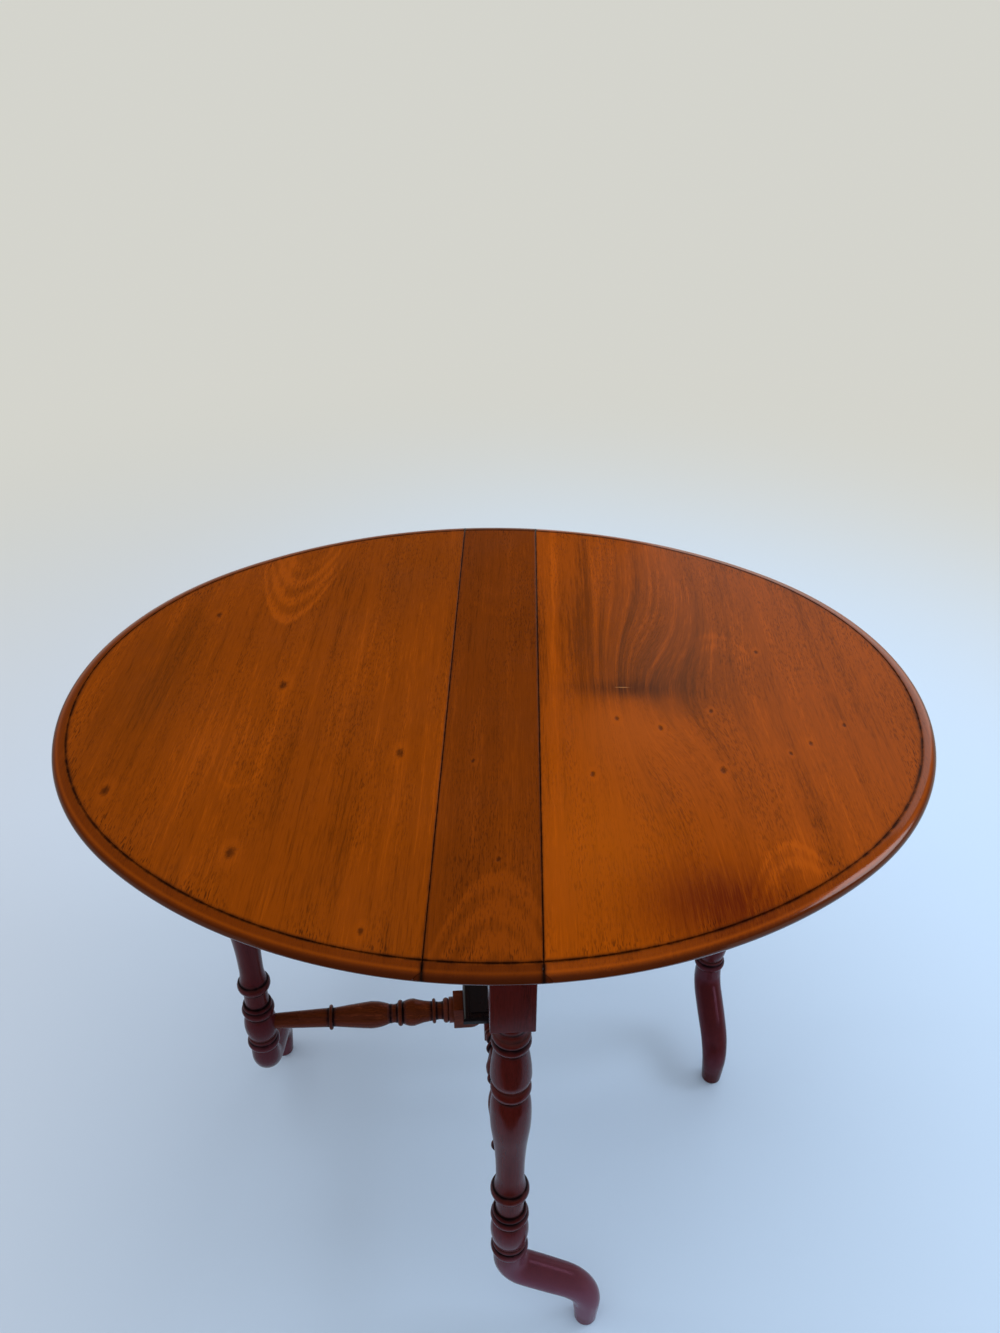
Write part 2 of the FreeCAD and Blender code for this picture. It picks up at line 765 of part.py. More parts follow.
def build():
    pieces = frame_pieces()
    for name, shape in gate_pieces().items():
        pieces["left_" + name] = shape
        pieces["right_" + name] = twin(shape)
    stop, stop_screws = stop_pieces()
    pieces["left_gate_stop"] = stop
    pieces["right_gate_stop"] = twin(stop)
    pieces["left_stop_screws"] = stop_screws
    pieces["right_stop_screws"] = twin(stop_screws)

    top = whole_top()
    board = top.common(board_space())
    leaf = top.common(leaf_space())
    board_screws = []
    leaf_screws = []
    recesses = []
    pin = along_y(hinge_pin_diameter / 2, -hinge_length / 2, hinge_length / 2)
    for y, end, other_end in ((-hinge_reach, "front", "back"), (hinge_reach, "back", "front")):
        recesses.append(at_hinge(board_recess(), y))
        leaf = leaf.cut(at_hinge(leaf_recess(), y))
        hinge = {"board_flap": board_flap(), "leaf_flap": leaf_flap(), "hinge_pin": pin}
        for name, shape in hinge.items():
            placed = at_hinge(shape, y)
            pieces["right_" + end + "_" + name] = placed
            pieces["left_" + other_end + "_" + name] = twin(placed)
        board_screws += [at_hinge(one, y) for one in flap_screws(board_flap_width, -1)]
        leaf_screws += [at_hinge(one, y) for one in flap_screws(leaf_flap_width, 1)]
    recesses += [twin(one) for one in recesses]
    held = [pieces["bearer_screws"], pieces["pivot_block_screws"]]
    pieces["centre_board"] = board.cut(recesses + held)
    leaf = leaf.cut(twin(stop_screws))
    pieces["right_leaf"] = leaf
    pieces["left_leaf"] = twin(leaf)
    pieces["board_flap_screws"] = Part.makeCompound(board_screws + [twin(one) for one in board_screws])
    pieces["right_leaf_flap_screws"] = Part.makeCompound(leaf_screws)
    pieces["left_leaf_flap_screws"] = twin(pieces["right_leaf_flap_screws"])
    return pieces


os.makedirs("parts", exist_ok=True)
for node, solid in build().items():
    solid.exportStep("parts/" + node + ".step")
pivot_place = at_left_gate(Part.Vertex(0, 0, 0)).Point
leg_place = at_left_gate(Part.Vertex(0, -gate_length, 0)).Point
print("left pivot", pivot_place, "left gate leg", leg_place, "swing", gate_swing)
print("hinge axis", joint_line, hinge_height, "stretcher height", stretcher_height)
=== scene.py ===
import json
import math

import bmesh
import bpy
from mathutils import Matrix, Vector


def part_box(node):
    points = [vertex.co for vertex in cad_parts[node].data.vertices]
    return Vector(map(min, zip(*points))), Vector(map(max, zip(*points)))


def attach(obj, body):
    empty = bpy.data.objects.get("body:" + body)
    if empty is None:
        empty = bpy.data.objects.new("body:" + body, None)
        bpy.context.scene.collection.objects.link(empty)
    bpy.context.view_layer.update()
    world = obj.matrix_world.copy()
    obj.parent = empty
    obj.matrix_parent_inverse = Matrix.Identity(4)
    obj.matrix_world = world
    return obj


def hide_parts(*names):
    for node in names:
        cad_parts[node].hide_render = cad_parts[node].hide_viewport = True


# An oval folding table in polished mahogany: figured boards on rule joints, turned legs on swept feet,
# and turned stretchers under a small moulded platform. Metres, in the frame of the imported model.

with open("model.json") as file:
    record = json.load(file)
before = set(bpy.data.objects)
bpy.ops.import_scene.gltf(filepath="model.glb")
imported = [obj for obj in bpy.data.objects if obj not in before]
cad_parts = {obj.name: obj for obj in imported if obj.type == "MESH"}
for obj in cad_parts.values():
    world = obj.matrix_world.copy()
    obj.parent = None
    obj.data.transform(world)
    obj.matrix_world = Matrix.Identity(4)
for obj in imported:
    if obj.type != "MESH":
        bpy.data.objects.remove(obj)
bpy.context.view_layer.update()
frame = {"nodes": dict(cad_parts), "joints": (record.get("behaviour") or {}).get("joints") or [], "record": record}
nodes = frame["nodes"]
joints = {joint["name"]: joint for joint in frame["joints"]}

mm = 0.001
up = Vector((0, 0, 1))
quarter_turn = math.pi / 2
full_turn = 2 * math.pi

# The photograph's frame and the camera that took it
image_width = 1000
image_height = 1333
focal_pixels = 1106.9
sensor_width = 36.0
camera_place = Vector((25.9, -1056.3, 1416.4)) * mm
camera_pitch = math.radians(33.607)
camera_yaw = math.radians(1.021)
camera_roll = math.radians(-0.04)

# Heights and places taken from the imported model
top_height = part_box("centre_board")[1].z
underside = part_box("centre_board")[0].z
half_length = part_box("right_leaf")[1].x
half_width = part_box("centre_board")[1].y
foot_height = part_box("front_leg")[0].z
head_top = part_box("front_leg")[1].z
hinge_x = joints["right_leaf_lift"]["pos_m"][0]
hinge_height = joints["right_leaf_lift"]["pos_m"][2]
stretcher_height = (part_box("left_gate_stretcher")[0].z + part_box("left_gate_stretcher")[1].z) / 2

# Top
oval_join_angle = math.radians(48.4)
rim_width = 15.0 * mm
rim_drop = 7.5 * mm
rim_lip = 0.3 * mm
rim_break_angle = math.radians(25.0)
rim_under_angle = math.radians(130.0)
thumb_steps = 8
nose_steps = 14
quirk_width = 1.8 * mm
quirk_depth = 1.4 * mm
rim_step = 4.0 * mm
blank_margin = 20.0 * mm
cutter_margin = 10.0 * mm
touch = 0.01 * mm

# Rule joints and hinge beds
rule_fillet = 3.0 * mm
rule_steps = 12
leaf_gap = 1.0 * mm
rule_clearance = 0.5 * mm
joint_softness = 0.45 * mm
joint_soft_steps = 2
joint_arris_angle = math.radians(30)
hinge_length = 64.0 * mm
hinge_inset = 186.0 * mm
hinge_reach = half_width - hinge_inset
knuckle_radius = hinge_height - underside
bed_depth = 2.0 * mm
bed_clearance = 0.2 * mm
bed_steps = 10
bed_past_edge = 2.0 * mm
bed_below = 1.0 * mm
flap_lift_room = 0.9 * mm
board_flap_width = 28.0 * mm
leaf_flap_width = 46.0 * mm
rule_radius = top_height - rule_fillet - hinge_height

# Turned outlines: steps and nearness in millimetres, and how sharply a corner turns
outline_step = 2.5
least_outline_steps = 6
same_spot = 1e-4
proud_turn = -0.4
sharp_turn = 0.35
arris_share = 0.4
arris_softness = 0.5 * mm
corner_mark_spread = 2.8 * mm
round_steps = 72
crease_angle = math.radians(35)

# Legs
head_size = 44.0 * mm
head_height = 119.0 * mm
head_softness = 1.3 * mm

# Swept feet
foot_reach = 94.0 * mm
foot_top_radius = 18.3 * mm
foot_pad_radius = 13.4 * mm
foot_swell = 2.4 * mm
foot_slope = math.radians(21.0)
heel_drop = 15.5 * mm
heel_bend = 28.0 * mm
toe_bend = 45.0 * mm
foot_taper = 1.6
foot_station = 3.0 * mm
foot_segments = 48
pad_softness = 1.2 * mm
pad_slack = 0.1 * mm

# Stretchers and platform
stretcher_block_width = 36.0 * mm
stretcher_block_length = 172.0 * mm
gate_block_width = 34.0 * mm
gate_block_reach = 23.0 * mm
knuckle_steps = 20
rail_gap = 4.0 * mm
platform_width = 92.0 * mm
platform_length = 176.0 * mm
platform_field = 1.5 * mm
platform_step = 4.5 * mm
platform_round = 7.0 * mm
platform_round_steps = 8
block_softness = 1.0 * mm
block_arris_angle = math.radians(40)


# Shapes

def arc_points(centre, radius, first, last, steps):
    """Points on a circle in a plane, from the first angle to the last."""
    points = []
    for index in range(steps + 1):
        angle = first + (last - first) * index / steps
        points.append((centre[0] + radius * math.cos(angle), centre[1] + radius * math.sin(angle)))
    return points


def bowed(start, middle, end, steps):
    """Points along the arc through three points of a plane."""
    (ax, ay), (bx, by), (cx, cy) = start, middle, end
    double_area = 2 * (ax * (by - cy) + bx * (cy - ay) + cx * (ay - by))
    a2, b2, c2 = ax * ax + ay * ay, bx * bx + by * by, cx * cx + cy * cy
    ox = (a2 * (by - cy) + b2 * (cy - ay) + c2 * (ay - by)) / double_area
    oy = (a2 * (cx - bx) + b2 * (ax - cx) + c2 * (bx - ax)) / double_area
    first = math.atan2(ay - oy, ax - ox)
    sweep = math.remainder(math.atan2(cy - oy, cx - ox) - first, full_turn)
    half = math.remainder(math.atan2(by - oy, bx - ox) - first, full_turn)
    if half * sweep < 0:
        sweep -= math.copysign(full_turn, sweep)
    return arc_points((ox, oy), math.hypot(ax - ox, ay - oy), first, first + sweep, steps)


def corner_turn(before, here, after):
    """How sharply an outline turns at a point: above zero in a hollow corner, below zero at a proud one."""
    first, second = (here - before).normalized(), (after - here).normalized()
    return first.x * second.y - first.y * second.x


def profile_of(stretches):
    """The outline of a turned piece, downwards from zero, as (radius, height) points with eased arrises.

    Each stretch is a length and the radius at its start, middle and end, in millimetres. A stretch
    without a middle radius is straight.
    """
    outline = []
    height = 0.0
    for length, start, middle, end in stretches:
        begin, finish = (start, height), (end, height - length)
        steps = max(least_outline_steps, round(length / outline_step))
        if middle is None:
            outline += [Vector(begin).lerp(Vector(finish), step / steps) for step in range(steps + 1)]
        else:
            outline += bowed(begin, (middle, height - length / 2), finish, steps)
        height -= length
    kept = [outline[0]]
    for spot in outline[1:]:
        if math.dist(spot, kept[-1]) > same_spot:
            kept.append(spot)
    kept = [Vector((radius * mm, height * mm)) for radius, height in kept]
    eased = [kept[0]]
    for before, here, after in zip(kept, kept[1:], kept[2:]):
        if corner_turn(before, here, after) > proud_turn:
            eased.append(here)
            continue
        back, on = before - here, after - here
        cut = min(arris_softness, arris_share * back.length, arris_share * on.length)
        start, end = here + back.normalized() * cut, here + on.normalized() * cut
        eased += [start, (start + end + 2 * here) / 4, end]
    return eased + [kept[-1]]


def near_corners(outline, sign):
    """How near each outline point is to a sharp corner: one at the corner, fading over a few millimetres."""
    corners = []
    for before, here, after in zip(outline, outline[1:], outline[2:]):
        turn = sign * corner_turn(before, here, after)
        if turn > sharp_turn:
            corners.append((here, min(1.0, turn)))
    depths = []
    for spot in outline:
        depth = 0.0
        for corner, strength in corners:
            depth = max(depth, strength * math.exp(-(math.dist(spot, corner) / corner_mark_spread) ** 2))
        depths.append(depth)
    return depths


def new_shape():
    """An empty shape that notes its grooves, its arrises and how far it looks up."""
    shape = bmesh.new()
    for mark in ("groove", "arris", "upward"):
        shape.verts.layers.float.new(mark)
    return shape


def verts_in(geometry):
    return [item for item in geometry if isinstance(item, bmesh.types.BMVert)]


def verts_of(faces):
    return list({vert for face in faces for vert in face.verts})


def soften(shape, edges, size, steps=3):
    """Round edges over, and give the faces of the rounding."""
    return bmesh.ops.bevel(shape, geom=list(edges), offset=size, offset_type="OFFSET", segments=steps,
                           profile=0.5, affect="EDGES", material=-1)["faces"]


def add_turned(shape, stretches, place):
    """Turn an outline about its axis, close both ends and put it in its place."""
    groove = shape.verts.layers.float["groove"]
    arris = shape.verts.layers.float["arris"]
    outline = profile_of(stretches)
    spots = []
    for spot, depth, edge in zip(outline, near_corners(outline, 1), near_corners(outline, -1)):
        vert = shape.verts.new((spot.x, 0, spot.y))
        vert[groove], vert[arris] = depth, edge
        spots.append(vert)
    edges = [shape.edges.new(pair) for pair in zip(spots, spots[1:])]
    before = set(shape.faces)
    bmesh.ops.spin(shape, geom=spots + edges, cent=(0, 0, 0), axis=up, dvec=(0, 0, 0), angle=full_turn,
                   steps=round_steps, use_merge=True, use_duplicate=False)
    rims = {edge for face in set(shape.faces) - before for edge in face.edges if edge.is_boundary}
    bmesh.ops.holes_fill(shape, edges=list(rims), sides=0)
    made = [face for face in shape.faces if face not in before]
    bmesh.ops.recalc_face_normals(shape, faces=made)
    bmesh.ops.transform(shape, matrix=place, verts=verts_of(made))


def add_cube(shape, low, high):
    """A sharp block between two corners, given as its points."""
    low, high = Vector(low), Vector(high)
    made = bmesh.ops.create_cube(shape, size=1.0)["verts"]
    bmesh.ops.scale(shape, vec=high - low, verts=made)
    bmesh.ops.translate(shape, vec=(low + high) / 2, verts=made)
    return made


def add_block(shape, low, high, softness, place):
    """A block with softened edges."""
    edges = {edge for vert in add_cube(shape, low, high) for edge in vert.link_edges}
    bmesh.ops.transform(shape, matrix=place, verts=verts_of(soften(shape, edges, softness)))


def add_prism(shape, spots, along):
    """A prism over a flat outline."""
    base = shape.faces.new([shape.verts.new(spot) for spot in spots])
    pushed = bmesh.ops.extrude_face_region(shape, geom=[base])["geom"]
    bmesh.ops.translate(shape, vec=along, verts=verts_in(pushed))
    bmesh.ops.recalc_face_normals(shape, faces=shape.faces)


def new_object(name, data):
    made = bpy.data.objects.new(name, data)
    bpy.context.scene.collection.objects.link(made)
    return made


def object_of(shape, name, finish=None):
    """A shape as an object of the scene, with its finish."""
    mesh = bpy.data.meshes.new(name)
    shape.to_mesh(mesh)
    shape.free()
    mesh.materials.append(finish)
    return new_object(name, mesh)


def finish_piece(shape, name, body, replaced, finish):
    """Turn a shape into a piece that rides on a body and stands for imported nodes."""
    piece = object_of(shape, name, finish)
    piece.data.shade_smooth()
    piece.data.set_sharp_from_angle(angle=crease_angle)
    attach(piece, body)
    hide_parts(*replaced)


# The top

def oval_arcs():
    """Each arc of the oval: its centre, radius, first angle and sweep."""
    cosine, sine = math.cos(oval_join_angle), math.sin(oval_join_angle)
    spread = (half_length - half_width) / (cosine + sine - 1)
    end_centre, side_centre = spread * cosine, spread * sine
    end_radius, side_radius = half_length - end_centre, half_width + side_centre
    end_sweep = 2 * oval_join_angle
    side_sweep = math.pi - end_sweep
    return [
        (Vector((end_centre, 0, 0)), end_radius, -oval_join_angle, end_sweep),
        (Vector((0, -side_centre, 0)), side_radius, oval_join_angle, side_sweep),
        (Vector((-end_centre, 0, 0)), end_radius, math.pi - oval_join_angle, end_sweep),
        (Vector((0, side_centre, 0)), side_radius, math.pi + oval_join_angle, side_sweep),
    ]


def rim_outline():
    """The rim's section as (inset, height) points, from the field over thumb and nose to the underside."""
    inner = rim_width + quirk_width
    sine, cosine = math.sin(rim_break_angle), math.cos(rim_break_angle)
    divisor = sine + cosine - 1
    thumb = (rim_width * cosine - rim_drop * (1 - sine)) / divisor
    nose = (rim_drop * sine - rim_width * (1 - cosine)) / divisor
    lip = top_height - rim_lip
    turns = quarter_turn, quarter_turn + rim_break_angle, quarter_turn + rim_under_angle
    over = arc_points((rim_width, lip - thumb), thumb, turns[0], turns[1], thumb_steps)
    round_nose = arc_points((nose, lip - rim_drop), nose, turns[1], turns[2], nose_steps)
    tail_inset, tail_height = round_nose[-1]
    run = (tail_height - underside) * -math.cos(rim_under_angle) / math.sin(rim_under_angle)
    floor = top_height - quirk_depth
    return ([(inner, top_height), (inner, floor), (rim_width, floor)] + over + round_nose[1:]
            + [(tail_inset + run, underside)])


def whole_top():
    """The oval top in one piece, with its moulded rim."""
    shape = bmesh.new()
    arcs = oval_arcs()
    centre, radius, first, _ = arcs[0]
    turn = Matrix.Rotation(first, 4, up)
    spots = []
    for inset, height in rim_outline():
        spots.append(shape.verts.new(centre + turn @ Vector((radius - inset, 0, height))))
    section = spots + [shape.edges.new(pair) for pair in zip(spots, spots[1:])]
    for centre, radius, _, sweep in arcs:
        steps = round(radius * sweep / rim_step)
        section = bmesh.ops.spin(shape, geom=section, cent=centre, axis=up, dvec=(0, 0, 0), angle=sweep,
                                 steps=steps, use_merge=False, use_duplicate=False)["geom_last"]
    bmesh.ops.remove_doubles(shape, verts=shape.verts, dist=touch)
    rims = [edge for edge in shape.edges if edge.is_boundary]
    bmesh.ops.holes_fill(shape, edges=rims, sides=0)
    bmesh.ops.recalc_face_normals(shape, faces=shape.faces)
    return shape


def add_bar(shape, outline, low, high):
    """A bar along the boards, over an outline drawn across them."""
    add_prism(shape, [(x, low, z) for x, z in outline], (0, high - low, 0))


def mirrored(outline, side):
    return [(side * x, z) for x, z in outline]


def board_edge():
    """The centre board's edge on the right, from the top down: a small step and a quarter round."""
    quarter = arc_points((hinge_x, hinge_height), rule_radius, quarter_turn, 0, rule_steps)
    end = (hinge_x + rule_radius, underside - cutter_margin)
    return [(hinge_x, top_height + cutter_margin), *quarter, end]


def leaf_edge():
    """The right leaf's hollow edge, from the top down."""
    hollow = rule_radius + rule_clearance
    quarter = arc_points((hinge_x, hinge_height), hollow, math.acos(leaf_gap / hollow), 0, rule_steps)
    end = (hinge_x + hollow, underside - cutter_margin)
    return [(hinge_x + leaf_gap, top_height + cutter_margin), *quarter, end]


def board_bed():
    """What a hinge needs cut from the centre board, across the board."""
    swing = knuckle_radius + bed_clearance
    seat = underside + bed_depth
    roof = seat + flap_lift_room
    first = math.pi - math.asin((seat - hinge_height) / swing)
    last = math.asin((roof - hinge_height) / swing)
    knuckle = arc_points((hinge_x, hinge_height), swing, first, last, bed_steps)
    far = hinge_x + rule_radius + bed_past_edge
    near = hinge_x - board_flap_width - bed_clearance
    low = underside - bed_below
    return [(near, low), (near, seat), *knuckle, (far, roof), (far, low)]


def leaf_bed():
    """What a hinge needs cut from a leaf."""
    near = hinge_x + rule_radius
    far = hinge_x + leaf_flap_width + bed_clearance
    low, seat = underside - bed_below, underside + bed_depth
    return [(near, low), (near, seat), (far, seat), (far, low)]


def hinge_cutter(bed, sides):
    shape = bmesh.new()
    half = hinge_length / 2 + bed_clearance
    for side in sides:
        for reach in (-hinge_reach, hinge_reach):
            add_bar(shape, mirrored(bed, side), reach - half, reach + half)
    return shape


def trimmed(shape, keep, cut):
    """The part of a shape inside one cutter and outside another."""
    blank = object_of(shape, "board_blank")
    cutters = {"INTERSECT": object_of(keep, "board_keep"), "DIFFERENCE": object_of(cut, "board_cut")}
    for operation, cutter in cutters.items():
        step = blank.modifiers.new(operation.lower(), "BOOLEAN")
        step.operation = operation
        step.solver = "EXACT"
        step.object = cutter
    graph = bpy.context.evaluated_depsgraph_get()
    mesh = bpy.data.meshes.new_from_object(blank.evaluated_get(graph))
    for spent in (blank, *cutters.values()):
        bpy.data.objects.remove(spent)
    result = bmesh.new()
    result.from_mesh(mesh)
    bpy.data.meshes.remove(mesh)
    return result


def soften_joint(shape, places):
    """Wear the arrises of the joint lines."""
    worn = []
    for edge in shape.edges:
        on_joint = any(all(abs(vert.co.x - place) < touch for vert in edge.verts) for place in places)
        if on_joint and edge.is_convex and edge.calc_face_angle(0) > joint_arris_angle:
            worn.append(edge)
    soften(shape, worn, joint_softness, joint_soft_steps)


def make_boards(finishes):
    """Cut the centre board and both leaves from the oval."""
    reach, far = half_width + blank_margin, half_length + blank_margin
    keep = bmesh.new()
    add_bar(keep, board_edge() + mirrored(board_edge(), -1)[::-1], -reach, reach)
    board = trimmed(whole_top(), keep, hinge_cutter(board_bed(), (-1, 1)))
    soften_joint(board, (-hinge_x, hinge_x))
    finish_piece(board, "centre_board_wood", "fixed_frame", ["centre_board"],
                 finishes["centre"])
    outline = leaf_edge() + [(far, underside - cutter_margin), (far, top_height + cutter_margin)]
    for name, side in (("left", -1), ("right", 1)):
        keep = bmesh.new()
        add_bar(keep, mirrored(outline, side), -reach, reach)
        leaf = trimmed(whole_top(), keep, hinge_cutter(leaf_bed(), (side,)))
        soften_joint(leaf, (side * (hinge_x + leaf_gap),))
        finish_piece(leaf, name + "_leaf_wood", name + "_leaf", [name + "_leaf"],
                     finishes[name])


# Legs, feet and rails

def leg_stretches():
    """The turned stem of a leg, from the head to the foot, in millimetres."""
    upper = [
        (12, 15.8, 17.2, 16.6),
        (9, 15.6, 16.2, 18.0),
        (10.5, 16.6, 19.6, 18.0),
        (12.5, 18.0, 20.2, 16.2),
        (42, 15.9, 19.6, 21.3),
        (14.5, 21.3, 20.8, 18.0),
        (16.5, 16.4, 21.2, 17.4),
        (20, 17.0, 19.9, 21.3),
        (52, 21.3, 21.7, 19.6),
    ]
    double_ring = [(6.5, 17.2, 19.5, 18.8), (14, 18.8, 21.8, 17.9)]
    lower = [
        (24, 15.7, 16.1, 18.2),
        (16, 19.0, 21.8, 17.0),
        (27, 16.1, 15.8, 16.1),
        *double_ring,
        (44, 17.4, 21.9, 18.0),
        *double_ring,
    ]
    length = (head_top - head_height - foot_height) / mm
    waist = length - sum(stretch[0] for stretch in upper + lower)
    return upper + [(waist, 19.6, 16.65, 15.7)] + lower


def rail_stretches(length):
    """A turned rail from its block to its tip, in millimetres."""
    fancy = [
        (6, 17.4, None, 17.4),
        (8, 14.4, 16.8, 14.4),
        (10, 12.4, 11.8, 12.4),
        (5, 14.4, 16.8, 14.4),
        (24, 13, 14.8, 18),
        (16, 18, 17.7, 14.4),
        (7, 14.4, 17.5, 14.4),
        (10, 13.2, 12.4, 13.2),
        (27.3, 12.4, 16.8, 18),
        (50.7, 18, 15.4, 12.4),
        (5, 13.9, 16.8, 13.9),
    ]
    tip = 8.0
    taper = length / mm - tip - sum(stretch[0] for stretch in fancy)
    return fancy + [(taper, 12.8, None, 10), (tip, 10, None, 10)]


def centre_of(node):
    low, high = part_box(node)
    return (low + high) / 2


def standing_at(node, turn):
    """The upright place of a leg: its axis on the floor, turned about the vertical."""
    middle = centre_of(node)
    return Matrix.Translation((middle.x, middle.y, 0)) @ Matrix.Rotation(turn, 4, up)


def make_leg(name, body, turn, finish):
    """A square head over a turned stem."""
    shape = new_shape()
    place = standing_at(name, turn)
    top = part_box(name)[1].z
    head_bottom = head_top - head_height
    half = head_size / 2
    add_block(shape, (-half, -half, head_bottom), (half, half, top), head_softness, place)
    add_turned(shape, leg_stretches(), place @ Matrix.Translation((0, 0, head_bottom)))
    finish_piece(shape, name + "_wood", body, [name], finish)


def foot_stations():
    """Stations down the middle of a foot: travel, x, z and lean from the vertical."""
    bend = quarter_turn - foot_slope
    across = 1 - math.cos(bend)
    run = (foot_reach - (heel_bend + toe_bend) * across) / math.cos(foot_slope)
    fall = (heel_bend + toe_bend) * math.sin(bend) + run * math.sin(foot_slope)
    toe_drop = foot_height - heel_drop - fall
    stations = [(0.0, 0.0, foot_height, 0.0)]
    for size, turn in ((heel_drop, 0), (heel_bend, bend), (run, 0), (toe_bend, -bend), (toe_drop, 0)):
        length = size if turn == 0 else abs(size * turn)
        parts = max(1, round(length / foot_station))
        swing = turn / parts
        chord = length / parts if turn == 0 else 2 * size * math.sin(abs(swing) / 2)
        for _ in range(parts):
            travel, x, z, lean = stations[-1]
            x += chord * math.sin(lean + swing / 2)
            z -= chord * math.cos(lean + swing / 2)
            stations.append((travel + length / parts, x, z, lean + swing))
    return stations


def foot_place(station, whole):
    """The place and size of a foot's ring at a station."""
    travel, x, z, lean = station
    share = travel / whole
    taper = (foot_top_radius - foot_pad_radius) * share ** foot_taper
    radius = foot_top_radius - taper + 4 * foot_swell * share * (1 - share)
    return Matrix.Translation((x, 0, z)) @ Matrix.Rotation(-lean, 4, "Y") @ Matrix.Scale(radius, 4)


def foot_direction(name, leg_name):
    """The way a foot points, from its leg's axis to its pad."""
    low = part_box(name)[0].z
    pad = [vert.co for vert in nodes[name].data.vertices if vert.co.z < low + pad_slack]
    away = sum(pad, Vector()) / len(pad) - centre_of(leg_name)
    return math.atan2(away.y, away.x)


def make_foot(name, leg_name, body, finish):
    """A round foot swept from under its leg out to a flat pad."""
    shape = new_shape()
    stations = foot_stations()
    whole = stations[-1][0]
    ring = bmesh.ops.create_circle(shape, cap_ends=True, segments=foot_segments, radius=1.0)["verts"]
    edges = list(shape.edges)
    here = foot_place(stations[0], whole)
    bmesh.ops.transform(shape, matrix=here, verts=ring)
    for station in stations[1:]:
        there = foot_place(station, whole)
        pushed = bmesh.ops.extrude_edge_only(shape, edges=edges)["geom"]
        edges = [item for item in pushed if isinstance(item, bmesh.types.BMEdge)]
        bmesh.ops.transform(shape, matrix=there @ here.inverted(), verts=verts_in(pushed))
        here = there
    pad = bmesh.ops.holes_fill(shape, edges=edges, sides=0)["faces"]
    bmesh.ops.recalc_face_normals(shape, faces=shape.faces)
    soften(shape, pad[0].edges, pad_softness)
    place = standing_at(leg_name, foot_direction(name, leg_name))
    bmesh.ops.transform(shape, matrix=place, verts=shape.verts)
    shape.normal_update()
    # How far each point looks up, so that less painted sheen falls on the foot's upper faces
    upward = shape.verts.layers.float["upward"]
    for vert in shape.verts:
        vert[upward] = max(0.0, vert.normal.z)
    finish_piece(shape, name + "_wood", body, [name], finish)


def laid_along(start, turn):
    """The place of a turned rail that starts at a point and runs level, turned about the vertical."""
    level = Matrix.Rotation(-quarter_turn, 4, "Y")
    return Matrix.Translation(start) @ Matrix.Rotation(turn, 4, up) @ level


def gate_line(side):
    """A gate's pivot at the floor, how far off its leg stands and which way."""
    pivot = Vector(joints[side + "_gate_swing"]["pos_m"])
    pivot.z = 0
    away = centre_of(side + "_gate_leg") - pivot
    return pivot, away.xy.length, math.atan2(away.y, away.x)


def make_gate_stretcher(side, finish):
    """A gate's lower rail: a block with a round knuckle on the pivot, and a turned rail to the leg."""
    name = side + "_gate_stretcher"
    pivot, reach, turn = gate_line(side)
    low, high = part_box(name)[0].z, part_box(name)[1].z
    half = gate_block_width / 2
    knuckle = arc_points((0, 0), half, quarter_turn, 3 * quarter_turn, knuckle_steps)
    outline = knuckle + [(gate_block_reach, -half), (gate_block_reach, half)]
    shape = new_shape()
    add_prism(shape, [(x, y, low) for x, y in outline], (0, 0, high - low))
    sharp = [edge for edge in shape.edges if edge.calc_face_angle(0) > block_arris_angle]
    soften(shape, sharp, block_softness)
    place = Matrix.Translation(pivot) @ Matrix.Rotation(turn, 4, up)
    bmesh.ops.transform(shape, matrix=place, verts=shape.verts)
    start = place @ Vector((gate_block_reach, 0, stretcher_height))
    add_turned(shape, rail_stretches(reach - gate_block_reach - rail_gap), laid_along(start, turn))
    finish_piece(shape, name + "_wood", side + "_gate", [name], finish)


def frame_turn():
    """How far the fixed frame is turned under the top."""
    away = centre_of("front_leg")
    return math.atan2(away.x, -away.y)


def make_stretcher(finish):
    """The fixed lower rail: a square block between two turned rails."""
    shape = new_shape()
    turn = frame_turn()
    spin = Matrix.Rotation(turn, 4, up)
    low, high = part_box("stretcher")[0].z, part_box("stretcher")[1].z
    half_x, half_y = stretcher_block_width / 2, stretcher_block_length / 2
    add_block(shape, (-half_x, -half_y, low), (half_x, half_y, high), block_softness, spin)
    reach = centre_of("front_leg").xy.length - half_y - rail_gap
    for end in (-1, 1):
        start = spin @ Vector((0, end * half_y, stretcher_height))
        add_turned(shape, rail_stretches(reach), laid_along(start, turn + end * quarter_turn))
    finish_piece(shape, "stretcher_wood", "fixed_frame", ["stretcher"], finish)


def make_platform(finish):
    """A small plate with a rounded edge and a raised field."""
    shape = new_shape()
    low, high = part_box("platform")[0].z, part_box("platform")[1].z
    half_x, half_y = platform_width / 2, platform_length / 2
    plate_top = high - platform_field
    middle = (low + plate_top) / 2
    add_cube(shape, (-half_x, -half_y, low), (half_x, half_y, plate_top))
    top_edges = [edge for edge in shape.edges if all(vert.co.z > middle for vert in edge.verts)]
    soften(shape, top_edges, platform_round, platform_round_steps)
    field = max(shape.faces, key=lambda face: face.calc_center_median().z)
    bmesh.ops.inset_region(shape, faces=[field], thickness=platform_step)
    raised = bmesh.ops.extrude_face_region(shape, geom=[field])["geom"]
    bmesh.ops.translate(shape, vec=(0, 0, platform_field), verts=verts_in(raised))
    bmesh.ops.delete(shape, geom=[field], context="FACES_ONLY")
    bmesh.ops.recalc_face_normals(shape, faces=shape.faces)
    bmesh.ops.transform(shape, matrix=Matrix.Rotation(frame_turn(), 4, up), verts=shape.verts)
    finish_piece(shape, "shaded_platform_wood", "fixed_frame", ["platform"], finish)


# Shader helpers

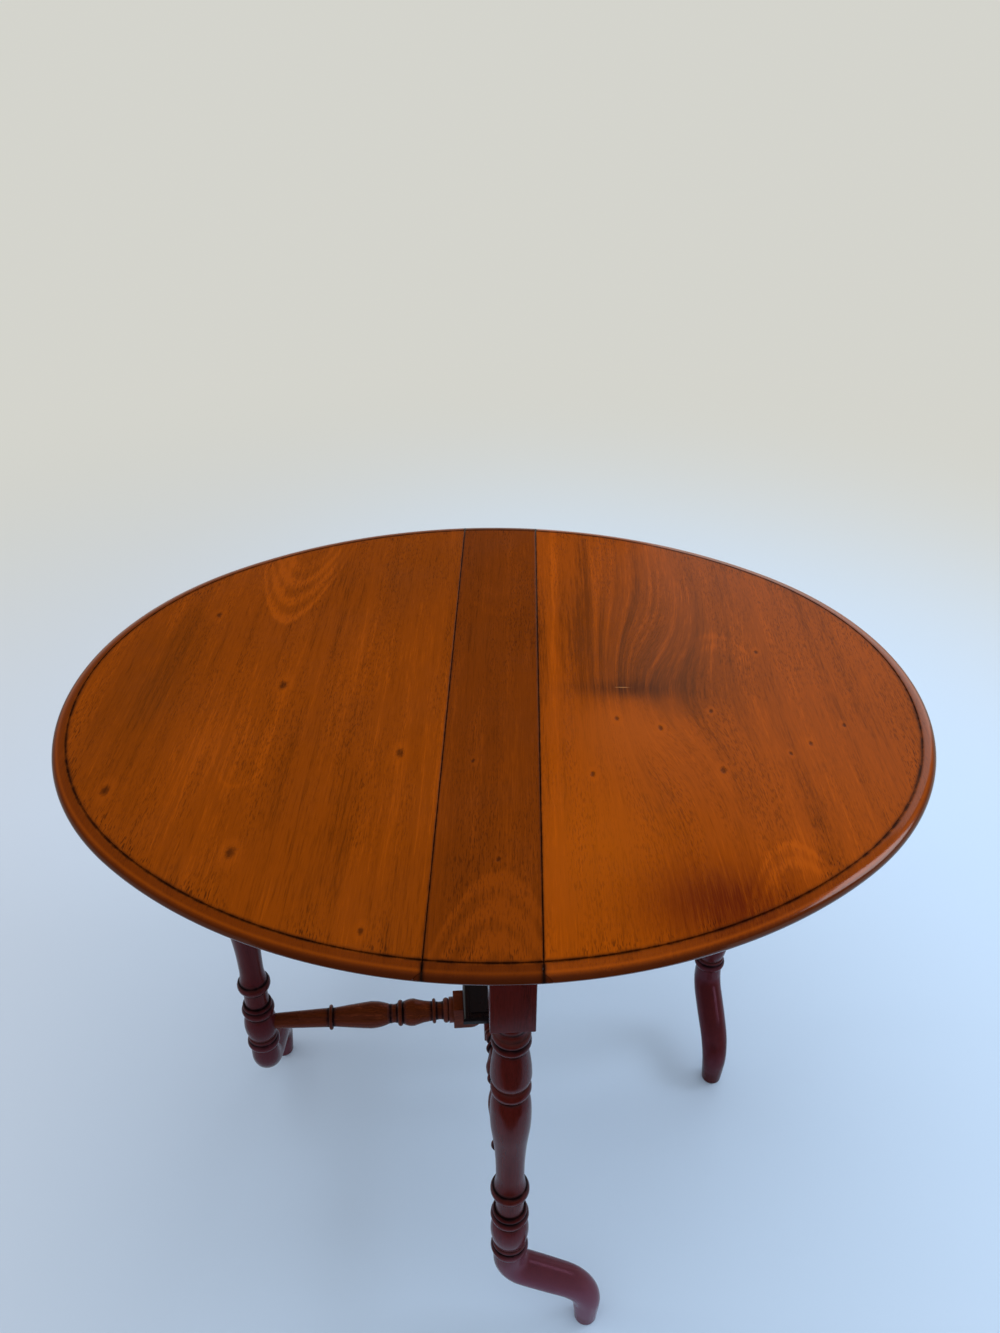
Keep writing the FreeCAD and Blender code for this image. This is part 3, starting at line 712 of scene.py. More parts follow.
class Tree:
    """Adds nodes to a shader tree, with inputs given as numbers, colours or other nodes' sockets."""

    def __init__(self, tree):
        self.tree = tree

    def put(self, socket, value):
        if isinstance(value, bpy.types.NodeSocket):
            self.tree.links.new(value, socket)
        else:
            socket.default_value = value

    def node(self, kind, inputs=None, **settings):
        made = self.tree.nodes.new(kind)
        for name, value in settings.items():
            setattr(made, name, value)
        for key, value in (inputs or {}).items():
            self.put(made.inputs[key], value)
        return made

    def link(self, node, **inputs):
        """Fill a node's inputs by name, with underscores for the blanks."""
        for name, value in inputs.items():
            self.put(node.inputs[name.replace("_", " ")], value)

    def group(self, group, **inputs):
        made = self.node("ShaderNodeGroup")
        made.node_tree = group
        self.link(made, **inputs)
        return made.outputs

    def math(self, operation, first, *others):
        """One operation on a value, or on all the values in turn."""
        for other in others or (0.0,):
            first = self.node("ShaderNodeMath", {0: first, 1: other}, operation=operation).outputs[0]
        return first

    def add(self, *values):
        return self.math("ADD", *values)

    def times(self, *values):
        return self.math("MULTIPLY", *values)

    def most(self, *values):
        return self.math("MAXIMUM", *values)

    def less(self, first, second):
        return self.math("SUBTRACT", first, second)

    def rest(self, share):
        """What a share leaves of one."""
        return self.less(1.0, share)

    def far(self, x, y):
        """The length of a plane vector."""
        return self.math("SQRT", self.add(self.times(x, x), self.times(y, y)))

    def bell(self, value, width):
        """One where the value is zero, fading to nothing past the width."""
        share = self.math("DIVIDE", value, width)
        return self.math("EXPONENT", self.times(share, share, -1.0))

    def vector(self, operation, first, second=(0.0, 0.0, 0.0)):
        return self.node("ShaderNodeVectorMath", {0: first, 1: second}, operation=operation).outputs[0]

    def split(self, vector):
        return self.node("ShaderNodeSeparateXYZ", {0: vector}).outputs

    def turned(self, vector, turn):
        return self.node("ShaderNodeMapping", {"Vector": vector, "Rotation": turn}).outputs[0]

    def between(self, value, low, high):
        """Zero below the low value and one above the high one, with a smooth step between."""
        return self.node("ShaderNodeMapRange", {"Value": value, "From Min": low, "From Max": high},
                         interpolation_type="SMOOTHSTEP").outputs["Result"]

    def noise(self, vector, scale, detail, roughness=0.5):
        """Noise with one scale, or with a scale for each axis."""
        if isinstance(scale, tuple):
            vector, scale = self.vector("MULTIPLY", vector, scale), 1.0
        inputs = {"Vector": vector, "Scale": scale, "Detail": detail, "Roughness": roughness}
        return self.node("ShaderNodeTexNoise", inputs).outputs["Fac"]

    def sway(self, *settings):
        """Noise about zero."""
        return self.less(self.noise(*settings), 0.5)

    def mix(self, share, first, second):
        return self.node("ShaderNodeMix", {0: share, 6: first, 7: second}, data_type="RGBA",
                         clamp_factor=True).outputs[2]

    def mark(self, name):
        """What a shape notes at its points."""
        return self.node("ShaderNodeAttribute", attribute_name=name).outputs["Fac"]

    def bump(self, height, strength, distance):
        inputs = {"Height": height, "Strength": strength, "Distance": distance}
        return self.node("ShaderNodeBump", inputs).outputs[0]


socket_kinds = {"value": "NodeSocketFloat", "colour": "NodeSocketColor", "vector": "NodeSocketVector"}


def new_group(name, inputs, outputs):
    """An empty node group with named sockets, its inputs and a function that links its outputs."""
    group = bpy.data.node_groups.new(name, "ShaderNodeTree")
    for way, sockets in (("INPUT", inputs), ("OUTPUT", outputs)):
        for kind, labels in sockets.items():
            for label in labels.split(", "):
                group.interface.new_socket(name=label, in_out=way, socket_type=socket_kinds[kind])
    tree = Tree(group)
    entry = tree.node("NodeGroupInput").outputs
    leave = tree.node("NodeGroupOutput")

    def give(label, socket):
        group.links.new(socket, leave.inputs[label])

    return group, tree, entry, give


def rim_inset_group():
    """How far a point of the top lies inside its oval edge."""
    group, tree, entry, give = new_group("rim_inset", {"vector": "Vector"}, {"value": "Inset"})
    (end_centre, end_radius, _, _), (side_centre, side_radius, _, _) = oval_arcs()[:2]
    place = tree.split(tree.vector("ABSOLUTE", entry["Vector"]))
    past_end = tree.less(place["X"], end_centre.x)
    from_end = tree.less(end_radius, tree.far(past_end, place["Y"]))
    from_side = tree.less(side_radius, tree.far(place["X"], tree.less(place["Y"], side_centre.y)))
    on_side = tree.math("GREATER_THAN", place["Y"], tree.times(past_end, math.tan(oval_join_angle)))
    give("Inset", tree.add(from_end, tree.times(on_side, tree.less(from_side, from_end))))
    return group


def grain_pull_group():
    """Draws the grain to one side at a knot, and gives the dark fan of wood behind it."""
    values = "Pull, Width, Reach, Back, Front, Fan Width, Fan Length"
    group, tree, entry, give = new_group(
        "grain_pull", {"vector": "Vector, Centre", "value": values}, {"value": "Shift, Shade"})
    away = tree.split(tree.vector("SUBTRACT", entry["Vector"], entry["Centre"]))
    x, y = away["X"], away["Y"]
    behind = tree.bell(tree.most(y, 0.0), entry["Back"])
    before = tree.bell(tree.math("MINIMUM", y, 0.0), entry["Front"])
    side = tree.between(x, tree.times(entry["Width"], -1.0), entry["Width"])
    fade = tree.bell(tree.most(x, 0.0), entry["Reach"])
    give("Shift", tree.times(entry["Pull"], behind, before, side, fade))
    ragged = tree.sway(entry["Vector"], (30.0, 16.0, 0.0), 3.0)
    edge = tree.add(y, tree.times(x, 0.34), tree.times(ragged, 0.08))
    length = tree.bell(tree.most(edge, 0.0), entry["Fan Length"])
    middle = tree.less(x, tree.add(tree.times(entry["Fan Width"], 0.45), tree.times(y, 0.25)))
    flank = tree.between(tree.add(x, tree.times(y, 0.15)), -0.05, 0.015)
    near = tree.times(tree.between(edge, -0.04, 0.045), flank)
    give("Shade", tree.times(length, near, tree.bell(middle, entry["Fan Width"])))
    return group


def grain_arch_group():
    """Nested arches of the growth rings behind an apex; a curve above zero opens to the back."""
    values = "Curve, Width, Depth, Spacing"
    group, tree, entry, give = new_group(
        "grain_arch", {"vector": "Vector, Apex", "value": values}, {"value": "Figure"})
    away = tree.split(tree.vector("SUBTRACT", entry["Vector"], entry["Apex"]))
    sway = tree.sway(entry["Vector"], (26.0, 9.0, 0.0), 3.0)
    bow = tree.times(away["X"], away["X"], entry["Curve"])
    rise = tree.times(tree.less(away["Y"], bow), tree.math("SIGN", entry["Curve"]))
    rise = tree.add(rise, tree.times(sway, 0.016))
    window = tree.times(tree.between(rise, -0.006, 0.008), tree.bell(away["X"], entry["Width"]),
                        tree.rest(tree.between(rise, tree.times(entry["Depth"], 0.4), entry["Depth"])))
    wave = tree.math("SINE", tree.math("DIVIDE", tree.times(rise, full_turn), entry["Spacing"]))
    give("Figure", tree.times(tree.add(0.6, tree.times(wave, 0.4)), window))
    return group


def mahogany_group():
    """Mahogany with its grain along Y: clouds, ribbon stripes, streaks, fibres and short dark pores."""
    group, tree, entry, give = new_group(
        "mahogany",
        {"vector": "Vector", "value": "Figure, Ribbon, Pore Strength", "colour": "Light, Middle, Dark"},
        {"colour": "Color", "value": "Pores, Tone"})

    def grain(across, along, detail, roughness=0.55):
        return tree.noise(entry["Vector"], (across, along, across), detail, roughness)

    def swing(weight, *settings):
        return tree.times(tree.less(grain(*settings), 0.5), weight)

    tone = tree.add(0.5, entry["Figure"], swing(0.45, 7.0, 3.0, 2.0), swing(entry["Ribbon"], 90.0, 1.8, 1.5),
                    swing(0.2, 30.0, 1.4, 2.0), swing(0.38, 240.0, 5.0, 3.0, 0.6),
                    swing(0.62, 800.0, 34.0, 2.0, 0.65))
    low = tree.mix(tree.between(tone, 0.2, 0.5), entry["Dark"], entry["Middle"])
    full = tree.mix(tree.between(tone, 0.5, 0.8), low, entry["Light"])
    clusters = tree.between(grain(40.0, 5.0, 1.0), 0.3, 0.65)
    pores = tree.between(grain(900.0, 115.0, 1.0), 0.52, 0.66)
    pores = tree.times(pores, clusters, entry["Pore Strength"])
    give("Color", tree.mix(pores, full, tree.mix(0.75, full, pore_colour)))
    give("Pores", pores)
    give("Tone", tone)
    return group


def rubbed_polish_group():
    """Uneven French polish: soft clouds of wear, fine rubbed lines and a little dust."""
    group, tree, entry, give = new_group(
        "rubbed_polish", {"vector": "Vector", "value": "Smooth, Worn"}, {"value": "Roughness, Ripple"})
    vector = entry["Vector"]
    clouds = tree.between(tree.noise(vector, 9.0, 4.0, 0.6), 0.35, 0.75)
    arris_wear_and_highlight = tree.noise(vector, (260.0, 9.0, 260.0), 2.0)
    smudges = tree.between(tree.noise(vector, 34.0, 3.0, 0.6), 0.5, 0.8)
    wear = tree.add(tree.times(clouds, 0.6), tree.times(arris_wear_and_highlight, 0.25), tree.times(smudges, 0.15))
    give("Roughness", tree.add(entry["Smooth"], tree.times(wear, tree.less(entry["Worn"], entry["Smooth"]))))
    give("Ripple", tree.noise(vector, 22.0, 2.0))
    return group


def small_knot_group():
    """A small knot or dent, longer along the grain, with a pale halo."""
    group, tree, entry, give = new_group(
        "small_knot", {"vector": "Vector, Centre, Stretch", "value": "Size"}, {"value": "Mask, Halo"})
    away = tree.vector("SUBTRACT", entry["Vector"], entry["Centre"])
    away = tree.split(tree.vector("MULTIPLY", away, entry["Stretch"]))
    ragged = tree.sway(entry["Vector"], 300.0, 2.0)
    reach = tree.math("DIVIDE", tree.far(away["X"], away["Y"]), entry["Size"])
    reach = tree.add(reach, tree.times(ragged, 0.9))
    give("Mask", tree.rest(tree.between(reach, 0.3, 1.15)))
    give("Halo", tree.times(tree.between(reach, 0.7, 1.4), tree.rest(tree.between(reach, 1.4, 3.2))))
    return group


def broken_line_mask_group():
    """A mask along grooves and arrises, broken up by noise in places."""
    group, tree, entry, give = new_group(
        "broken_line_mask", {"vector": "Vector", "value": "Groove, Amount"}, {"value": "Mask"})
    broken = tree.between(tree.noise(entry["Vector"], 90.0, 3.0, 0.6), 0.25, 0.65)
    mask = tree.times(entry["Groove"], tree.add(0.4, tree.times(broken, 0.6)), entry["Amount"])
    give("Mask", tree.math("MINIMUM", mask, 1.0))
    return group


# Colours and measures of the finishes
pore_colour = (0.02, 0.004, 0.001, 1.0)
# Grime in the quirk, the joints and the knots; also the painted shade in the rim's joint notches and the darkening
# in the grooves of turned pieces
grime_and_shade_colour = (0.006, 0.0025, 0.0015, 1.0)
# Painted highlight and wear along the arrises of turned pieces
arris_wear_and_highlight_colour = (0.19, 0.06, 0.045, 1.0)
# Dusty bloom and a painted mauve sheen of reflection, near the floor
bloom_and_sheen_colour = (0.15, 0.06, 0.095, 1.0)
# Painted shade under the rim's nose
nose_shade_colour = (0.05, 0.009, 0.002, 1.0)
swirl_colour = (0.065, 0.017, 0.004, 1.0)
stain_red = (0.1, 0.011, 0.001, 1.0)
scratch_colour = (0.45, 0.2, 0.06, 1.0)
# Heights over which the bloom and the painted sheen fade out
bloom_and_sheen_low = 0.05
bloom_and_sheen_high = 0.24
along_grain = (1.0, 0.55, 0.0)
across_grain = (0.22, 2.2, 0.0)
upright_grain = (quarter_turn, 0.0, 0.0)
crosswise_grain = (0.0, 0.0, quarter_turn)
lengthwise_grain = (0.0, 0.0, 0.0)
quirk_grime = 2.6 * mm
joint_grime = 1.4 * mm
worn_band_inset = rim_width + 7.0 * mm
worn_band_width = 8.0 * mm
# Where the painted shade over the rim and under its nose, the painted highlight along the nose and the painted
# shade in each joint notch fall
rim_blend = 2.5 * mm
nose_shade_start = 0.6 * mm
nose_shade_end = 6.0 * mm
nose_highlight_width = 1.5 * mm
joint_notch_shade_width = 2.2 * mm

rim_inset = rim_inset_group()
grain_pull = grain_pull_group()
grain_arch = grain_arch_group()
mahogany = mahogany_group()
rubbed_polish = rubbed_polish_group()
small_knot = small_knot_group()
broken_line_mask = broken_line_mask_group()


def new_finish(name):
    """An empty material: its tree, its Principled shader and the object coordinates."""
    finish = bpy.data.materials.new(name)
    finish.use_nodes = True
    tree = Tree(finish.node_tree)
    shader = finish.node_tree.nodes["Principled BSDF"]
    place = tree.node("ShaderNodeTexCoord").outputs["Object"]
    return finish, tree, shader, place


def wood_of(tree, vector, tones, pores=0.5, figure=0.0, ribbon=0.4):
    light, middle, dark = tones
    return tree.group(mahogany, Vector=vector, Figure=figure, Ribbon=ribbon, Light=light, Middle=middle,
                      Dark=dark, Pore_Strength=pores)


def board_finish(name, tones, ribbon, knots, arches, ribbon_patch=None, pull=None, stains=(), scratches=(),
                 rim_coat=0.2, rim_painted_shade=0.7):
    """Polished figured mahogany for one board of the top, with painted shade and a painted highlight on its rim.
    """
    finish, tree, shader, place = new_finish(name)
    light, _, dark = tones
    # Painted shade for the rim: a darker copy of the board's dark tone
    rim_dark_shade = (dark[0] * 0.85, dark[1] * 0.7, dark[2], 1.0)

    def patch(spot, size, strength):
        """Full at a spot of the board, fading over a width and a length."""
        away = tree.split(tree.vector("SUBTRACT", place, (*spot, 0.0)))
        return tree.times(tree.bell(away["X"], size[0]), tree.bell(away["Y"], size[1]), strength)

    def flaw(spot, size, stretch):
        return tree.group(small_knot, Vector=place, Centre=(*spot, top_height), Stretch=stretch, Size=size)

    grained = place
    if pull:
        bent = tree.group(grain_pull, Vector=place, **pull)
        shift = tree.node("ShaderNodeCombineXYZ", {"X": bent["Shift"]}).outputs[0]
        grained = tree.vector("ADD", place, shift)
    figure = 0.0
    for strength, settings in arches:
        arch = tree.group(grain_arch, Vector=place, **settings)["Figure"]
        figure = tree.add(figure, tree.times(arch, strength))
    if ribbon_patch:
        ribbon = tree.add(ribbon, patch(*ribbon_patch))
    wood = wood_of(tree, grained, tones, figure=figure, ribbon=ribbon)
    colour = wood["Color"]
    contrast = tree.less(0.5, wood["Tone"])
    if pull:
        shade = tree.times(bent["Shade"], tree.add(0.72, tree.times(contrast, 1.1)))
        colour = tree.mix(shade, colour, swirl_colour)
    for spot, size, strength, stain_colour in stains:
        share = tree.times(patch(spot, size, strength), tree.add(0.8, tree.times(contrast, 1.6)))
        colour = tree.mix(share, colour, stain_colour)
    marks, halos = 0.0, 0.0
    for spot, size in knots:
        knot = flaw(spot, size, along_grain)
        marks, halos = tree.most(marks, knot["Mask"]), tree.most(halos, knot["Halo"])
    colour = tree.mix(tree.times(halos, 0.3), colour, light)
    colour = tree.mix(tree.times(marks, 0.6), colour, grime_and_shade_colour)
    for spot, size in scratches:
        scratch = flaw(spot, size, across_grain)["Mask"]
        colour = tree.mix(tree.times(scratch, 0.6), colour, scratch_colour)

    # Grime in the quirk, in the joints and in the worn band beside the rim
    inset = tree.group(rim_inset, Vector=place)["Inset"]
    from_joint = tree.less(tree.math("ABSOLUTE", tree.split(place)["X"]), hinge_x + leaf_gap / 2)
    at_quirk = tree.bell(tree.less(inset, rim_width + quirk_width / 2), quirk_grime)
    lines = tree.most(at_quirk, tree.bell(from_joint, joint_grime))
    held = tree.group(broken_line_mask, Vector=place, Groove=lines, Amount=0.9)["Mask"]
    worn_band = tree.bell(tree.less(inset, worn_band_inset), worn_band_width)
    held = tree.most(held, tree.times(worn_band, wood["Pores"], 0.9))
    colour = tree.mix(held, colour, grime_and_shade_colour)

    # Painted shade over the rim and under its nose, a painted highlight along the nose, and painted shade in the
    # notch at each joint
    on_rim = tree.rest(tree.between(inset, rim_width - rim_blend, rim_width))
    colour = tree.mix(tree.times(on_rim, rim_painted_shade), colour, rim_dark_shade)
    under_nose_shade = tree.rest(tree.between(inset, nose_shade_start, nose_shade_end))
    colour = tree.mix(tree.times(under_nose_shade, 0.85), colour, nose_shade_colour)
    nose_highlight = tree.bell(tree.less(inset, nose_shade_end), nose_highlight_width)
    colour = tree.mix(tree.times(nose_highlight, 0.4), colour, light)
    joint_notch_shade = tree.times(on_rim, tree.bell(from_joint, joint_notch_shade_width))
    colour = tree.mix(tree.times(joint_notch_shade, 0.95), colour, grime_and_shade_colour)

    worn = tree.group(rubbed_polish, Vector=place, Smooth=0.15, Worn=0.28)
    height = tree.add(tree.times(wood["Pores"], -1.0), tree.times(marks, -2.5),
                      tree.times(worn["Ripple"], 0.35))
    tree.link(shader, Base_Color=colour, Roughness=worn["Roughness"], Normal=tree.bump(height, 0.5, 0.00012),
              Coat_Weight=tree.times(on_rim, rim_coat), Coat_Roughness=0.1, Specular_IOR_Level=0.065,
              Specular_Tint=(1.0, 0.75, 0.6, 1.0))
    return finish


def turned_finish(name, grain_turn, tones, smooth, worn_rough, bloom_and_sheen=0.0):
    """Dark polished mahogany for turned pieces: darker in and beside their grooves, with a painted highlight and
    wear on their arrises, and dusty bloom with a painted sheen near the floor.
    """
    finish, tree, shader, place = new_finish(name)
    turned = tree.turned(place, grain_turn)
    wood = wood_of(tree, turned, tones)
    # Darker in and beside the grooves of the turnings
    groove_dark = tree.group(broken_line_mask, Vector=place, Groove=tree.mark("groove"), Amount=1.5)["Mask"]
    # Painted highlight and wear along the arrises
    arris_wear_and_highlight = tree.group(broken_line_mask, Vector=place, Groove=tree.mark("arris"), Amount=0.7)["Mask"]
    # Dusty bloom with a painted sheen of reflection near the floor, in clouds, less on faces that look up
    low = tree.rest(tree.between(tree.split(place)["Z"], bloom_and_sheen_low, bloom_and_sheen_high))
    low = tree.times(low, tree.rest(tree.times(tree.mark("upward"), 0.6)))
    clouds = tree.between(tree.noise(place, 15.0, 3.0), 0.3, 0.55)
    colour = tree.mix(tree.times(clouds, low, bloom_and_sheen), wood["Color"], bloom_and_sheen_colour)
    colour = tree.mix(arris_wear_and_highlight, colour, arris_wear_and_highlight_colour)
    colour = tree.mix(groove_dark, colour, grime_and_shade_colour)
    worn = tree.group(rubbed_polish, Vector=turned, Smooth=smooth, Worn=worn_rough)
    rough = tree.add(worn["Roughness"], tree.times(groove_dark, 0.35))
    height = tree.add(tree.times(wood["Pores"], -1.0), tree.times(worn["Ripple"], 0.5))
    tree.link(shader, Base_Color=colour, Roughness=rough, Normal=tree.bump(height, 0.4, 0.00015),
              Specular_IOR_Level=0.13, Specular_Tint=(1.0, 0.4, 0.7, 1.0))
    return finish


def plain_wood_finish(name, grain_turn, tones):
    """Wood that was never polished, under the top."""
    finish, tree, shader, place = new_finish(name)
    turned = tree.turned(place, grain_turn)
    wood = wood_of(tree, turned, tones, pores=0.8)
    worn = tree.group(rubbed_polish, Vector=turned, Smooth=0.5, Worn=0.75)
    height = tree.add(tree.times(wood["Pores"], -1.0), wood["Tone"])
    tree.link(shader, Base_Color=wood["Color"], Roughness=worn["Roughness"],
              Normal=tree.bump(height, 0.5, 0.0002), Specular_IOR_Level=0.3)
    return finish


def near_black_finish(name, tones):
    """Near-black polished wood, with brown wear and dust in its grain; its near-black colour is painted shade."""
    finish, tree, shader, place = new_finish(name)
    wood = wood_of(tree, place, tones, pores=0.4)
    worn = tree.group(rubbed_polish, Vector=place, Smooth=0.22, Worn=0.4)
    height = tree.add(tree.times(wood["Pores"], -1.0), tree.times(worn["Ripple"], 0.5))
    tree.link(shader, Base_Color=wood["Color"], Roughness=worn["Roughness"],
              Normal=tree.bump(height, 0.4, 0.00015), Specular_IOR_Level=0.3)
    return finish


def iron_finish(name, light, dark, rust, smooth, worn_rough):
    """Old iron: dull metal with darker clouds and some brown rust."""
    finish, tree, shader, place = new_finish(name)
    clouds = tree.between(tree.noise(place, 140.0, 4.0, 0.6), 0.35, 0.65)
    speckle = tree.between(tree.noise(place, 620.0, 3.0, 0.6), 0.52, 0.66)
    colour = tree.mix(tree.times(speckle, 0.6), tree.mix(clouds, dark, light), rust)
    rough = tree.add(smooth, tree.times(tree.most(clouds, speckle), worn_rough - smooth))
    tree.link(shader, Base_Color=colour, Roughness=rough, Metallic=tree.rest(speckle),
              Normal=tree.bump(speckle, 0.3, 0.0001))
    return finish


# Finishes

def tones_of(red, green, blue, lighter=1.4, darker=0.58):
    """The light, middle and dark colours of a wood, from its middle colour."""
    return [(red * share, green * share, blue * share, 1.0) for share in (lighter, 1.0, darker)]


left_board = board_finish(
    "left_leaf_mahogany", tones_of(0.212, 0.0405, 0.0008), 0.4,
    [((-0.246, 0.003), 0.0055), ((-0.098, -0.122), 0.005), ((-0.394, -0.19), 0.005),
     ((-0.246, -0.279), 0.005), ((-0.357, 0.16), 0.004), ((-0.109, -0.376), 0.003)],
    [(0.36, {"Apex": (-0.27, 0.14, 0.0), "Curve": 50.0, "Width": 0.06, "Depth": 0.2, "Spacing": 0.046}),
     (0.12, {"Apex": (-0.264, -0.186, 0.0), "Curve": 45.0, "Width": 0.04, "Depth": 0.014, "Spacing": 0.014})],
    stains=[((-0.4, 0.04), (0.045, 0.17), 0.55, (0.09, 0.02, 0.001, 1.0)),
            ((-0.12, 0.26), (0.05, 0.1), 0.25, (0.1, 0.022, 0.002, 1.0))])
centre_board = board_finish(
    "centre_board_mahogany", tones_of(0.145, 0.027, 0.0008), 0.3,
    [((0.011, -0.283), 0.0024), ((-0.019, -0.134), 0.0022)],
    [(0.36, {"Apex": (0.011, -0.297, 0.0), "Curve": -30.0, "Width": 0.07, "Depth": 0.24, "Spacing": 0.04}),
     (0.1, {"Apex": (0.0, 0.16, 0.0), "Curve": 30.0, "Width": 0.04, "Depth": 0.12, "Spacing": 0.05})])
# The right leaf's rim takes less painted shade and more coat
right_board = board_finish(
    "right_leaf_mahogany", tones_of(0.27, 0.05, 0.0008, 1.4, 0.55), 0.35,
    [((0.139, -0.055), 0.003), ((0.186, -0.072), 0.003), ((0.244, -0.145), 0.0036), ((0.246, -0.039), 0.0024),
     ((0.346, -0.097), 0.0026), ((0.321, -0.115), 0.0022), ((0.39, -0.063), 0.0024), ((0.318, 0.085), 0.0026),
     ((0.107, -0.154), 0.003)],
    [(0.2, {"Apex": (0.292, -0.251, 0.0), "Curve": -30.0, "Width": 0.05, "Depth": 0.06, "Spacing": 0.026}),
     (0.12, {"Apex": (0.27, 0.13, 0.0), "Curve": -28.0, "Width": 0.045, "Depth": 0.06, "Spacing": 0.03})],
    ribbon_patch=((0.13, 0.2), (0.11, 0.22), 0.7),
    pull={"Centre": (0.14, -0.012, 0.0), "Pull": 0.07, "Width": 0.04, "Reach": 0.12, "Back": 0.16,
          "Front": 0.16, "Fan_Width": 0.09, "Fan_Length": 0.2},
    stains=[((0.215, -0.335), (0.085, 0.05), 1.1, stain_red),
            ((0.21, 0.16), (0.12, 0.17), 0.5, (0.12, 0.027, 0.003, 1.0)),
            ((0.15, -0.075), (0.07, 0.06), 0.45, (0.38, 0.075, 0.001, 1.0)),
            ((0.152, 0.004), (0.05, 0.018), 0.8, (0.045, 0.011, 0.003, 1.0)),
            ((0.11, -0.27), (0.07, 0.12), 0.3, (0.46, 0.1, 0.001, 1.0))],
    scratches=[((0.15, 0.006), 0.0022)], rim_coat=0.6, rim_painted_shade=0.4)

leg_tones = tones_of(0.062, 0.0066, 0.0042)
# A darker copy of the legs' tones for the gate legs: painted shade, as they stand further under the top
shaded_gate_leg_tones = tones_of(0.052, 0.006, 0.0045)
hidden_tones = tones_of(0.1, 0.03, 0.014)
# Near-black tones: painted shade for the platform under the top
platform_shade_tones = [(0.012, 0.008, 0.008, 1.0), (0.006, 0.004, 0.005, 1.0), (0.003, 0.002, 0.003, 1.0)]
leg_wood = turned_finish("leg_mahogany", upright_grain, leg_tones, 0.14, 0.3, 0.85)
# The gate legs' finish is a painted-shade copy of the legs' finish, with darker tones and less sheen
shaded_gate_leg_wood = turned_finish("gate_leg_mahogany_shaded", upright_grain, shaded_gate_leg_tones, 0.14, 0.3, 0.3)
rail_wood = turned_finish("rail_mahogany", crosswise_grain, tones_of(0.085, 0.018, 0.005, 2.3), 0.18, 0.36)
frame_wood = turned_finish("stretcher_mahogany", lengthwise_grain, tones_of(0.075, 0.013, 0.008), 0.2, 0.4)
# The platform is painted near-black: painted shade
shaded_platform_wood = near_black_finish("platform_painted_shade", platform_shade_tones)
gate_rail_wood = plain_wood_finish("gate_rail_wood", crosswise_grain, hidden_tones)

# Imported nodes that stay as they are, by their slots
irons = [
    ("hinge_iron", (0.2, 0.185, 0.17, 1), (0.1, 0.09, 0.08, 1), (0.11, 0.05, 0.025, 1), 0.4, 0.65),
    ("pivot_iron", (0.4, 0.385, 0.37, 1), (0.25, 0.24, 0.23, 1), (0.12, 0.06, 0.03, 1), 0.3, 0.5),
    ("screw_steel", (0.34, 0.32, 0.29, 1), (0.18, 0.165, 0.15, 1), (0.1, 0.05, 0.025, 1), 0.35, 0.6),
]
kept_finishes = {iron[0]: iron_finish(*iron) for iron in irons}
kept_finishes["rail_mahogany"] = plain_wood_finish("rail_wood", lengthwise_grain, hidden_tones)
for part in frame["record"]["subparts"]:
    node = nodes[part["node"]]
    finish = kept_finishes.get(part["material_slot"])
    if finish:
        node.data.materials.clear()
        node.data.materials.append(gate_rail_wood if part["node"].endswith("gate_rail") else finish)


# The pieces

make_boards({"left": left_board, "centre": centre_board, "right": right_board})
for end in ("front", "back"):
    make_leg(end + "_leg", "fixed_frame", frame_turn(), leg_wood)
    make_foot(end + "_foot", end + "_leg", "fixed_frame", leg_wood)
for side in ("left", "right"):
    make_leg(side + "_gate_leg", side + "_gate", gate_line(side)[2], shaded_gate_leg_wood)
    make_foot(side + "_gate_foot", side + "_gate_leg", side + "_gate", shaded_gate_leg_wood)
    make_gate_stretcher(side, rail_wood)
make_stretcher(frame_wood)
make_platform(shaded_platform_wood)


# Floor, light and camera

floor_colour = (0.59, 0.76, 0.97, 1.0)
# Painted light across the floor: greyer towards the left, bluer towards the right
floor_left_painted_light = (0.58, 0.65, 0.75, 1.0)
floor_left = -1.1
floor_right = 0.2
floor_near = 0.9
floor_far = 3.2
floor_reach = 60.0
paper_colour = (0.66, 0.66, 0.61, 1.0)
card_colour = (0.02, 0.02, 0.02, 1.0)
card_worn_colour = (0.04, 0.038, 0.036, 1.0)
card_place = (0.0, -0.64, 0.5)
card_reach = 0.5
ambient_colour = (0.94, 0.97, 1.0, 1.0)
ambient_strength = 0.8
ceiling_share = 0.1
ceiling_low = 0.1
ceiling_high = 0.45
panel_aim = Vector((0.0, 0.0, 0.6))


def seen_rays(tree):
    """One for what the camera, a reflection or a clear piece shows, and zero for light that bounces."""
    rays = tree.node("ShaderNodeLightPath").outputs
    return tree.most(rays["Is Camera Ray"], rays["Is Glossy Ray"], rays["Is Transmission Ray"])


def sheet(reach):
    """A flat square about the middle."""
    shape = bmesh.new()
    bmesh.ops.create_grid(shape, x_segments=1, y_segments=1, size=reach)
    return shape


